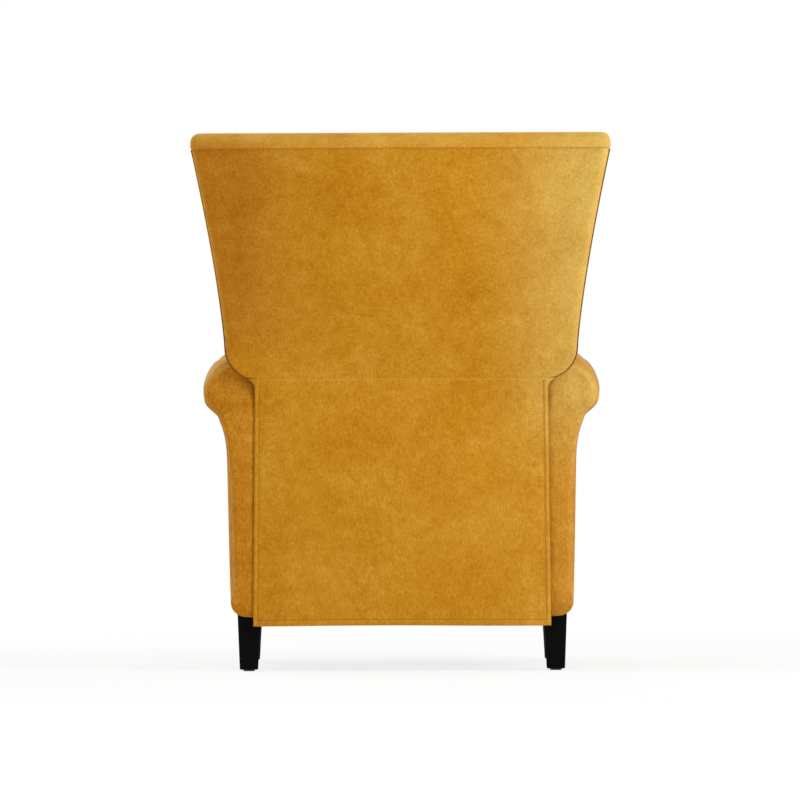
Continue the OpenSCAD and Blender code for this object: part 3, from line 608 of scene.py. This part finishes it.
def under_the_roll(x, y, z, n):
    """The cover is drawn into the cove under the roll, and the roll's rear edge is padded out."""
    if x > 0.335 and n.x > 0.1:
        x -= cove_depth * swell(cove_z, cove_width, z)
    across, up = (x - arm_x) / roll_w, (z - arm_z) / roll_h
    if across > 0 and z > 0.505:
        out = hypot(across, up)
        drawn = roll_drawn * max(0.0, 2 * across * up / out ** 2)
        full = roll_full * step_between(0.262, 0.284, y) * (1 - step_between(0.292, 0.299, y))
        full *= 1 - abs(n.y)
        x, z = x + (full - drawn) * across / out, z + (full - drawn) * up / out
    return x, z


def rear_of_arm(x, y, z, n):
    """The rear is padded up to the flap's edge, with a ridge and a hollow below the back."""
    flap_edge = 0.279 + 0.005 * step_between(0.560, 0.110, z)
    beside_flap = step_between(flap_edge + 0.001, flap_edge + 0.009, x)
    rear = arm_rear + 0.0018 + 0.0032 * beside_flap - 0.0030 * step_between(0.300, 0.350, x)
    ridge = 0.0034 * swell(0.520, 0.014, z) * step_between(0.280, 0.292, x)
    rear += ridge * (1 - step_between(0.352, 0.372, x))
    hollow = 0.0050 * swell(0.562, 0.017, z) * step_between(0.262, 0.285, x)
    rear -= hollow * (1 - step_between(0.335, 0.366, x))
    move = (rear - y) * step_between(0.50, 0.85, n.y) * step_between(0.108, 0.125, z)
    return y + move * (1 - step_between(0.583, 0.600, z))


directions = [v.normal.copy() for v in arm_left.data.vertices]
for v, n in zip(arm_left.data.vertices, directions):
    x, y, z = v.co
    x, z = round_the_sill(x, y, z, n)
    x, z = under_the_roll(x, y, z, n)
    if y > 0.285:
        y = rear_of_arm(x, y, z, n)
    v.co = (x, y, z)


def mirrored(piece, name):
    """The same piece for the other side of the chair."""
    bm = bmesh.new()
    bm.from_mesh(piece.data)
    bmesh.ops.scale(bm, vec=(-1, 1, 1), verts=bm.verts)
    bmesh.ops.reverse_faces(bm, faces=bm.faces)
    return piece_from(name, bm, piece.data.materials[0])


arm_right = mirrored(arm_left, "rolled_arm_right")
for arm, node in ((arm_left, "arm_left"), (arm_right, "arm_right")):
    subdivided(arm)
    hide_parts(node)
    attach(arm, "base")

# ---- Arm facings ------------------------------------------------------------------------
# A scroll-shaped board, padded and covered, is nailed over the front of each arm. A welt,
# which is a cord in a bias strip of the cover cloth, runs round it in the joint.
def on_ellipse(cx, cz, rx, rz, angle):
    return cx + rx * cos(radians(angle)), cz + rz * sin(radians(angle))


def arc(cx, cz, rx, rz, a0, a1, n):
    """Points along an ellipse from one angle to another."""
    return [on_ellipse(cx, cz, rx, rz, a0 + (a1 - a0) * i / n) for i in range(n + 1)]


def roll_line(a0, a1, n):
    """Points round the roll, which is a little flatter at its outer shoulder than an ellipse."""
    line = []
    for i in range(n + 1):
        a = a0 + (a1 - a0) * i / n
        c, s = cos(radians(a)), sin(radians(a))
        power = 1.1 if 0 < a < 90 else 1.0
        across = roll_w * (1 if c > 0 else -1) * abs(c) ** power
        up = roll_h * (1 if s > 0 else -1) * abs(s) ** power
        line.append((arm_x + across, arm_z + up))
    return line


def arm_outline():
    """The arm's outline seen from the front, for the left arm, as (x, z)."""
    panel_x = seat_half + arm_panel
    kink = on_ellipse(arm_x, arm_z, roll_w, roll_h, -42)
    cove_foot = kink[1] - 0.084
    start, middle = (panel_x, cove_foot), (panel_x + 0.003, kink[1] - 0.013)
    bend = []
    for i in range(1, 7):
        t = i / 6
        spot = [
            (1 - t) ** 2 * a + 2 * t * (1 - t) * b + t * t * c
            for a, b, c in zip(start, middle, kink)
        ]
        bend.append(tuple(spot))
    return (
        [(seat_half, arm_low), (seat_half + arm_panel * 0.45, arm_low)]
        + arc(panel_x - arm_taper - 0.030, arm_low + 0.026, 0.030, 0.026, -90, 0, 6)
        + [(panel_x - arm_taper * 0.6, leg_h + 0.120), (panel_x, cove_foot)]
        + bend
        + roll_line(-34, 176, 22)
        + [(seat_half, arm_z - roll_h * 0.45), (seat_half, (arm_z + leg_h) / 2)]
    )


def set_in(outline, depth):
    """The outline drawn in by depth along its own normals."""
    made = []
    n = len(outline)
    for i in range(n):
        (ax, az), (bx, bz) = outline[i - 1], outline[(i + 1) % n]
        long = max(hypot(bx - ax, bz - az), 1e-6)
        in_x, in_z = depth * (bz - az) / long, depth * (bx - ax) / long
        made.append((outline[i][0] - in_x, outline[i][1] + in_z))
    return made


def evened(points, step, closed=True):
    """The same line with points a step apart."""
    line = [Vector(p) for p in points] + ([Vector(points[0])] if closed else [])
    made, carry = [], 0.0
    for a, b in zip(line, line[1:]):
        span = (b - a).length
        while carry < span:
            made.append(a + (b - a) * (carry / span))
            carry += step
        carry -= span
    return made


# The facing's face is crowned: full in the middle, and set back towards its welted edge.
crown_full, crown_back, crown_reach = 0.0045, 0.0020, 0.010
facing_left = stuffed_copy("scroll_facing_left", "arm_facing_left", 0.0006, 0.0035, velvet)
relax(facing_left, 4)
edge_line = evened([(x, 0, z) for x, z in set_in(arm_outline(), 0.010)], 0.006)
for v in facing_left.data.vertices:
    if v.co.y < -arm_front - facing_t * 0.5:
        gap = min((Vector((v.co.x, 0, v.co.z)) - p).length for p in edge_line)
        v.co.y -= crown_full * (1 - exp(-gap / crown_reach)) - crown_back
facing_right = mirrored(facing_left, "scroll_facing_right")
for facing, node in ((facing_left, "arm_facing_left"), (facing_right, "arm_facing_right")):
    subdivided(facing)
    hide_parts(node)
    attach(facing, "base")
for side, side_name in ((1, "left"), (-1, "right")):
    welt_line = [(side * p.x, -arm_front - 0.0022, p.z) for p in edge_line]
    facing_welt = round_rod(
        f"facing_welt_{side_name}", welt_line, 0.0032, velvet_welt, closed=True, sides=3
    )
    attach(facing_welt, "base")

# ---- Outside back -----------------------------------------------------------------------
# The back's timber is boarded and padded, and the outside cover is one velvet panel pulled
# over soft edges. It meets the side boxing in a sunk seam; the top cover rolls over the
# crest and is sewn down over the panel in a straight folded seam.
back_top, roll_seam, back_half = 1.030, 1.001, 0.401
waist_half, waist_z, cover_z, corner_r = 0.338, 0.619, 0.560, 0.060
rake, back_y, back_gap, shell_t = 0.236, 0.316, 0.003, 0.071
wing_z = arm_top + 0.018
top_r, crest_r = back_top - roll_seam, 0.018
edge_fall, edge_round, round_share, side_drawn = 0.0034, 0.016, 0.40, 0.0021


def rear_y(z):
    """Where the raked back's rear face is at a height."""
    return back_y + (z - cover_z) * rake


def quarter(share):
    """How far a quarter round of radius 1 falls away, from 0 at share 0 to 1 at share 1."""
    return 1 - sqrt(max(0.0, 1 - share ** 2))


def half_at(z):
    """Half of the back's width: a round corner below the waist, and a flare above it."""
    if z < waist_z:
        return waist_half - corner_r * quarter((waist_z - z) / (waist_z - cover_z))
    flare = ((min(z, roll_seam) - waist_z) / (roll_seam - waist_z)) ** 1.3
    return waist_half + (back_half - waist_half) * flare


def crest(z):
    """How far the top corners round in at a height."""
    return crest_r * quarter(max(0.0, z - back_top + crest_r) / crest_r)


def over(z):
    """How far the top cover has rolled over the crest at a height, as a share of its radius."""
    return 0.0 if z <= roll_seam else quarter((z - roll_seam) / top_r)


def drawn_up(name, rings, material):
    """A closed skin: a ring of points is extruded up through each level in turn."""
    bm = bmesh.new()
    bmesh.ops.create_circle(bm, segments=len(rings[0]), radius=1)
    bm.verts.ensure_lookup_table()
    row = list(bm.verts)
    for v, spot in zip(row, rings[0]):
        v.co = spot
    edges = list(bm.edges)
    bmesh.ops.edgeloop_fill(bm, edges=edges)
    for ring in rings[1:]:
        made = bmesh.ops.extrude_edge_only(bm, edges=edges)["geom"]
        fresh = {g for g in made if isinstance(g, bmesh.types.BMVert)}
        above = []
        for v in row:
            ends = [e.other_vert(v) for e in v.link_edges]
            above.append(next(end for end in ends if end in fresh))
        row = above
        edges = [
            g for g in made
            if isinstance(g, bmesh.types.BMEdge) and all(v in fresh for v in g.verts)
        ]
        for v, spot in zip(row, ring):
            v.co = spot
    bmesh.ops.edgeloop_fill(bm, edges=edges)
    bmesh.ops.recalc_face_normals(bm, faces=bm.faces)
    return piece_from(name, bm, material)


def front_y(z):
    """Where the shell ends in front: behind the arms, and behind the pads above them."""
    if z < wing_z:
        return arm_rear + back_gap
    return rear_y(min(z, roll_seam)) - shell_t + 0.001


def back_ring(z, puff, rear_lift, side_lift):
    """One level of the back: rear panel with a soft edge, sunk side seam, boxing and front."""
    w = half_at(z) - crest(z) + side_lift
    yr = rear_y(min(z, roll_seam)) - top_r * over(z) + rear_lift
    yf = front_y(z)
    deep = yr - yf
    r, rf = min(edge_round, deep * round_share), min(0.012, deep * 0.30)
    wp = w - side_drawn * puff
    fall = edge_fall * puff * min(1.0, (z - cover_z) / 0.05)
    seam = yr - fall - r - 0.002
    crown = 0.005 * min(1.0, 0.05 + (z - cover_z) / 0.16)
    half = []
    for t in (0.0, 0.25, 0.48, 0.66, 0.8, 0.92):
        near_edge = max(0.0, (t - 0.62) / 0.38)
        half.append((t * (wp - r), yr + crown * (1 - t * t) - fall * near_edge ** 2))
    half += [on_ellipse(wp - r, yr - fall - r, r, r, a) for a in (88, 66, 44, 22, 4)]
    half += [(wp - 0.0008 * puff, seam), (wp - 0.0042 * puff, seam - 0.0012)]
    half += [(w - 0.0030 * puff, seam - 0.0034), (w, seam - 0.0056)]
    half += [(w, (seam - 0.0056 + yf + rf) / 2)]
    half += [on_ellipse(w - rf, yf + rf, rf, rf, a) for a in (0, -30, -60, -90)]
    half += [(t * (w - rf), yf) for t in (0.9, 0.7, 0.45, 0.2)]
    ring = [(x, y, z) for x, y in half]
    return ring + [(-x, y, zz) for x, y, zz in reversed(ring[1:])]


# Each level is (height, puff of the seam, lift of the rear, lift of the side).
levels = []
for t in (0.0, 0.004, 0.02, 0.06, 0.14, 0.26, 0.42, 0.62, 0.82, 1.0):
    levels.append((cover_z + (waist_z - cover_z) * t, min(1.0, t * 5), 0.0, 0.0))
levels += [(wing_z + off, 1.0, 0.0, 0.0) for off in (-0.003, 0.0, 0.005)]
for t in (0.08, 0.18, 0.30, 0.42, 0.54, 0.66, 0.78, 0.88, 0.95, 0.982):
    levels.append((wing_z + (roll_seam - wing_z) * t, 1.0, 0.0, 0.0))
levels += [
    (roll_seam - 0.0034, 1.0, -0.0003, -0.0014), (roll_seam - 0.0012, 0.8, -0.0007, -0.0022),
    (roll_seam - 0.0004, 0.4, -0.0002, -0.0012), (roll_seam + 0.0002, 0.2, 0.0018, -0.0004),
    (roll_seam + 0.0012, 0.15, 0.0026, -0.0002), (roll_seam + 0.0026, 0.15, 0.0022, 0.0),
    (roll_seam + 0.0042, 0.15, 0.0016, 0.0), (roll_seam + 0.0070, 0.15, 0.0014, 0.0),
]
for t in (0.38, 0.55, 0.70, 0.82, 0.91, 0.965, 0.99, 1.0):
    levels.append((roll_seam + top_r * t, 0.1, 0.0012 * (1 - t), 0.0))
outside_back = drawn_up("outside_back", [back_ring(*level) for level in levels], velvet)
subdivided(outside_back, 2)
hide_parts("back_shell")
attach(outside_back, "back")

# The panel is sewn to the side boxing over a thin cord, coloured dark brown as painted shade
# for the shade in the sunk seam and on the boxing that turns away from the light.
seam_shade_cord, tree, output, place = finish_of("seam_shade_cord")
cord_mottle = noise(tree, place["Object"], 900.0)
tone = toned(tree, cord_mottle, (0.170, 0.072, 0.008), (0.300, 0.140, 0.018))
bump = bumped(tree, cord_mottle, 0.3, 0.0004)
surfaced(tree, output, Base_Color=tone, Roughness=0.9, Normal=bump, Specular_IOR_Level=0.1)


def side_seam(side, z):
    """The cord's middle in its seam; on the left the seam is sunk deeper up the back."""
    deep = rear_y(z) - front_y(z)
    fall = edge_fall * min(1.0, (z - cover_z) / 0.05)
    sunk = 0.0011 * step_between(0.66, 0.80, z) * (1 - step_between(0.982, 0.992, z))
    x = half_at(z) - 0.0010 - (sunk if side > 0 else 0.0)
    return Vector((side * x, rear_y(z) - fall - min(edge_round, deep * round_share) - 0.0050, z))


seam_levels = [waist_z + (waist_z - cover_z) * -sin(radians(a)) for a in range(84, 0, -7)]
seam_levels += [waist_z + (roll_seam - 0.003 - waist_z) * k / 26 for k in range(27)]
for side, side_name in ((1, "left"), (-1, "right")):
    seam_line = [side_seam(side, z) for z in seam_levels]
    # Each cord is painted shade: a dark line along the back's side seam.
    cord = round_rod(f"back_seam_shade_{side_name}", seam_line, 0.0011, seam_shade_cord)
    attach(cord, "back")

# ---- Inside back ------------------------------------------------------------------------
# Foam and fibre pads fill the inside of the back: a lumbar roll between the arms and a wide
# pad above them, with a sewn channel under the head. Their covers meet in a deep crease.
def close_to(piece, node, sunk=0.004, proud=0.0018):
    """The swollen cover settles close to the form it was cut for, all round."""
    hold_near(piece, node, sunk, lambda p: proud)
    relax(piece, 2)


head_pad = stuffed_copy("head_pad", "back_pad", 0.0045, 0.0060, velvet)
relax(head_pad, 2)
inflate(head_pad, 4.0, lambda p: 0.010)
close_to(head_pad, "back_pad")

# The channel is a wide dip with a sharp line at its bottom, on the pad's front only.
channel = roll_seam + top_r * 0.45 - 0.184
wide_dip, wide_reach, sharp_dip, sharp_reach = 0.0060, 0.011, 0.0050, 0.0030
front_from, front_fade = 0.016, 0.02
bm = bmesh.new()
bm.from_mesh(head_pad.data)
for off in (-0.009, -0.0045, -0.0022, 0.0, 0.0022, 0.0045, 0.009):
    whole = list(bm.verts) + list(bm.edges) + list(bm.faces)
    bmesh.ops.bisect_plane(
        bm, geom=whole, dist=1e-5, plane_co=(0, 0, channel + off), plane_no=(0, 0, 1)
    )
for v in bm.verts:
    front = rear_y(v.co.z) - shell_t - v.co.y
    if front > front_from:
        away = abs(v.co.z - channel)
        dip = wide_dip * exp(-(away / wide_reach) ** 2)
        dip += sharp_dip * exp(-(away / sharp_reach) ** 2)
        v.co.y += dip * min(1.0, (front - front_from) / front_fade)
bm.to_mesh(head_pad.data)
bm.free()
for face in head_pad.data.polygons:
    face.use_smooth = True

lumbar_roll = stuffed_copy("lumbar_roll", "lumbar_pad", 0.0045, 0.0055, velvet)
relax(lumbar_roll, 2)
inflate(lumbar_roll, 4.0, lambda p: 0.010)
close_to(lumbar_roll, "lumbar_pad", proud=0.0)
for pad, node in ((head_pad, "back_pad"), (lumbar_roll, "lumbar_pad")):
    subdivided(pad)
    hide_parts(node)
    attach(pad, "back")

# ---- Front apron ------------------------------------------------------------------------
# Cover cloth drawn over the seat's front rail and tacked behind it, so that no timber shows
# between the cushion and the closed footrest.
apron_low, apron_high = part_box("seat_apron")
turned_in, apron_ripple = 0.0004, 0.00018
apron_half = apron_high.x - turned_in
apron_high_z, apron_low_z = apron_high.z - turned_in, apron_low.z + turned_in
bm = bmesh.new()
bmesh.ops.create_grid(bm, x_segments=160, y_segments=8, size=1)
for v in bm.verts:
    x, share = v.co.x * apron_half, (v.co.y + 1) / 2
    ripple = apron_ripple * sin(61.0 * x + 1.3 * share) * (1 - share)
    y = (apron_low.y + apron_high.y) / 2 + ripple
    v.co = Vector((x, y, apron_low_z + (apron_high_z - apron_low_z) * share))
bmesh.ops.recalc_face_normals(bm, faces=bm.faces)
apron = piece_from("seat_apron_cloth", bm, velvet)


def thickened(piece, thickness, edge, segments):
    """Gives a sheet its thickness and soft edges."""
    thick = piece.modifiers.new("cloth", "SOLIDIFY")
    thick.thickness, thick.offset = thickness, 0.0
    soft = piece.modifiers.new("turned", "BEVEL")
    soft.width, soft.segments, soft.limit_method = edge, segments, "ANGLE"


thickened(apron, 0.0010, 0.0004, 2)
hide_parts("seat_apron")
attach(apron, "seat")

# ---- Seat cushion -----------------------------------------------------------------------
# A loose-looking but fixed cushion of foam wrapped in fibre: a crowned top panel, a border
# round the sides, and a welt in the seam along each edge of the border.
border_z = 0.39


def cushion_proud(p):
    """Only the top may stand proud, away from the arms and from the back."""
    return 0.0 if p.z < border_z or abs(p.x) > 0.22 or p.y > 0.10 else 0.003


seat_cushion = stuffed_copy("seat_cushion_cover", "seat_cushion", 0.0045, 0.006, velvet)
relax(seat_cushion, 2)
inflate(seat_cushion, 4.0, lambda p: 0.012 if p.z > border_z else 0.003)
hold_near(seat_cushion, "seat_cushion", 0.004, cushion_proud)
relax(seat_cushion, 2)
subdivided(seat_cushion)
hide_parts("seat_cushion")
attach(seat_cushion, "seat")


def laid_on(piece, starts, lift):
    """Points brought down onto the piece from (start, direction) pairs, and raised by lift."""
    surface = surface_of(piece.data)
    made = []
    for start, direction in starts:
        hit, normal, _, _ = surface.ray_cast(Vector(start), Vector(direction).normalized())
        if hit is not None:
            made.append(tuple(hit + normal * lift))
    return made


def round_corner_loop(x, y0, y1, r, step):
    """A rectangle with round corners, from -x to x and from y0 to y1, as even points."""
    corners = [
        (x - r, y1 - r, 0), (-x + r, y1 - r, 90), (-x + r, y0 + r, 180), (x - r, y0 + r, 270)
    ]
    line = []
    for cx, cy, a in corners:
        line += [(*on_ellipse(cx, cy, r, r, a + 9 * i), 0.0) for i in range(11)]
    return evened(line, step)


# The cushion narrows towards its rear, where it fits between the back's brackets.
cushion_low, cushion_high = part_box("seat_cushion")
front_half, rear_half, narrow_from, narrow_run = 0.246, 0.23625, 0.115, 0.05
cushion_y, cast_from = -0.1035, 0.12
for level_name, z_mid, rise in (("top", 0.452, 0.028), ("bottom", 0.398, -0.026)):
    starts = []
    for p in round_corner_loop(front_half, cushion_low.y, cushion_high.y, 0.030, 0.008):
        share = min(1.0, max(0.0, (p.y - narrow_from) / narrow_run))
        x = p.x * (1 - share * (1 - rear_half / front_half))
        centre = Vector((x * 0.90, cushion_y + (p.y - cushion_y) * 0.96, z_mid))
        out = Vector((x - centre.x, p.y - centre.y, rise)).normalized()
        starts.append((centre + out * cast_from, -out))
    line = laid_on(seat_cushion, starts, 0.0006)
    seat_welt = round_rod(
        f"seat_welt_{level_name}", line, 0.0028, velvet_welt, closed=True, sides=3
    )
    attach(seat_welt, "seat")

# ---- Footrest pad -----------------------------------------------------------------------
# A padded panel stapled over the footrest's board, with a welt round its face. Closed, it
# hangs under the front of the seat between the arms.
foot_cushion = stuffed_copy("footrest_pad", "foot_cushion", 0.0035, 0.005, velvet)
relax(foot_cushion, 2)
inflate(foot_cushion, 3.5, lambda p: 0.008)
close_to(foot_cushion, "foot_cushion", sunk=0.003, proud=0.0)
subdivided(foot_cushion)
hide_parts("foot_cushion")
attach(foot_cushion, "footrest")
foot_low, foot_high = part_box("foot_cushion")
foot_mid = (foot_low + foot_high) / 2
face_low, face_high = foot_low.z - foot_mid.z, foot_high.z - foot_mid.z
starts = []
for p in round_corner_loop(foot_high.x, face_low, face_high, 0.024, 0.008):
    edge = Vector((p.x, foot_low.y + 0.004, foot_mid.z + p.y))
    centre = Vector((p.x * 0.93, foot_mid.y - 0.004, foot_mid.z + p.y * 0.84))
    out = (edge - centre).normalized()
    starts.append((centre + out * 0.10, -out))
line = laid_on(foot_cushion, starts, 0.0006)
foot_welt = round_rod("footrest_welt", line, 0.0028, velvet_welt, closed=True, sides=3)
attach(foot_welt, "footrest")

# ---- Rear flap --------------------------------------------------------------------------
# A lined velvet curtain that closes the gap behind the seat. It hangs from the back's lower
# seam, laps over both arms, and has a stitched hem down each side and along the bottom.
flap_low, flap_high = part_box("rear_flap")
flap_half, flap_flare, flap_t = 0.279, 0.005, 0.005
flap_top, flap_bottom, flap_y = flap_high.z + 0.0004, flap_low.z, back_y - 0.001 - flap_t / 2
flap_wide, flap_long = 2 * (flap_half + flap_flare), flap_top - flap_bottom


def flap_spot(u, v, out):
    """A point of the flap: u from -1 to 1 across, v from 0 at the hem to 1 at the top."""
    x = u * (flap_half + flap_flare * (1 - v))
    z = flap_bottom + flap_long * v
    loose = (1 - v) ** 1.5
    wave = 0.0011 * loose * (sin(5.1 * u + 0.6) + 0.6 * sin(11.0 * u - 1.1 + 1.5 * v))
    sag = 0.0008 * loose * sin(3.2 * u + 1.0)
    to_side = abs(u) ** 7
    close = 0.0078 * to_side * min(1.0, (1 - v) * 7)
    flush = 0.0026 * step_between(0.90, 0.985, v)
    return Vector((x, flap_y + wave * (1 - to_side) - close + flush + out, z + sag))


# At the top, the flap's corners reach out a little along the back's seam.
ear_drop, ear_reach, ear_from = 0.019, 0.0142, 0.955
bm = bmesh.new()
bmesh.ops.create_grid(bm, x_segments=144, y_segments=100, size=1)
for v in bm.verts:
    u, high = v.co.x, (v.co.y + 1) / 2
    v.co = flap_spot(u, high, 0.0)
    near_top = max(0.0, 1 - (flap_top - v.co.z) / ear_drop)
    ear = ear_reach * near_top ** 1.8 * max(0.0, (abs(u) - ear_from) / 0.045)
    v.co.x += ear if u > 0 else -ear
bmesh.ops.recalc_face_normals(bm, faces=bm.faces)
rear_flap = piece_from("rear_flap_cloth", bm, velvet)
lining = rear_flap.modifiers.new("lining", "SOLIDIFY")
lining.thickness, lining.offset = 0.0024, 0.0
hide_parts("rear_flap")
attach(rear_flap, "flap")


def ribbon(name, spots, thickness, material):
    """A strip of cloth through rows of points, thickened a little and with soft edges."""
    rows, columns = len(spots), len(spots[0])
    bm = bmesh.new()
    bmesh.ops.create_grid(bm, x_segments=columns - 1, y_segments=rows - 1, size=1)
    for v in bm.verts:
        i = round((v.co.y + 1) / 2 * (rows - 1))
        j = round((v.co.x + 1) / 2 * (columns - 1))
        v.co = spots[i][j]
    bmesh.ops.recalc_face_normals(bm, faces=bm.faces)
    made = piece_from(name, bm, material)
    thickened(made, thickness, thickness * 0.42, 3)
    return made


# The side hems are rounded across their width; the bottom hem lies flat.
hem_in, hem_low, hem_end, hem_rows = 0.0068, 0.0105, 0.9935, 90
hem_share = hem_in / flap_half
hems = []
for side in (-1, 1):
    rows = []
    for v in range(hem_rows + 1):
        row = []
        for c in (-1, -0.94, -0.75, -0.4, 0, 0.4, 0.75, 0.94, 1):
            u, out = side * (1.001 - hem_share * (1 + c) / 2), 0.0008 + 0.0015 * sqrt(1 - c * c)
            row.append(flap_spot(u, hem_end * v / hem_rows, out))
        rows.append(row)
    hem = ribbon(f"flap_hem_{'left' if side > 0 else 'right'}", rows, 0.0009, velvet_welt)
    hems.append(hem)
v_in = hem_low / flap_long
rows = []
for v in (0.0, v_in / 2, v_in):
    rows.append([flap_spot(-1 + 2 * u / 100, v, 0.0020) for u in range(101)])
hems.append(ribbon("flap_hem_bottom", rows, 0.0022, velvet))
for hem in hems:
    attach(hem, "flap")

thread, tree, output, place = finish_of("thread")
twist = noise(tree, place["Object"], 2600.0, 1.0)
tone = toned(tree, twist, (0.36, 0.145, 0.010), (0.54, 0.250, 0.024))
surfaced(tree, output, Base_Color=tone, Roughness=0.6)


def stitches(name, spots, step, length, radius):
    """A row of short thread stitches along a line of points."""
    bm = bmesh.new()
    for a, b in zip(spots, spots[1:]):
        turn = (b - a).normalized().to_track_quat("Z", "Y").to_matrix()
        count = max(1, int((b - a).length / step))
        for i in range(count):
            middle = a + (b - a) * ((i + 0.5) / count)
            made = bmesh.ops.create_cone(
                bm, cap_ends=True, segments=6, radius1=radius, radius2=radius, depth=length
            )["verts"]
            bmesh.ops.rotate(bm, cent=(0, 0, 0), matrix=turn, verts=made)
            bmesh.ops.translate(bm, vec=middle, verts=made)
    return piece_from(name, bm, thread)


sewn_in, sewn_out = 1 - hem_in * 1.15 / flap_half, 0.0016
sewn_levels = [hem_end - v / 30 * (hem_end - v_in) for v in range(31)]
left_row = [flap_spot(sewn_in, v, sewn_out) for v in sewn_levels]
right_row = [flap_spot(-sewn_in, v, sewn_out) for v in sewn_levels]
low_row = [flap_spot(-0.965 + 1.93 * u / 40, v_in * 1.12, sewn_out) for u in range(41)]
for row_name, row in (("left", left_row), ("right", right_row), ("bottom", low_row)):
    sewn = stitches(f"flap_stitches_{row_name}", row, 0.0046, 0.0032, 0.00042)
    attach(sewn, "flap")
    hems.append(sewn)
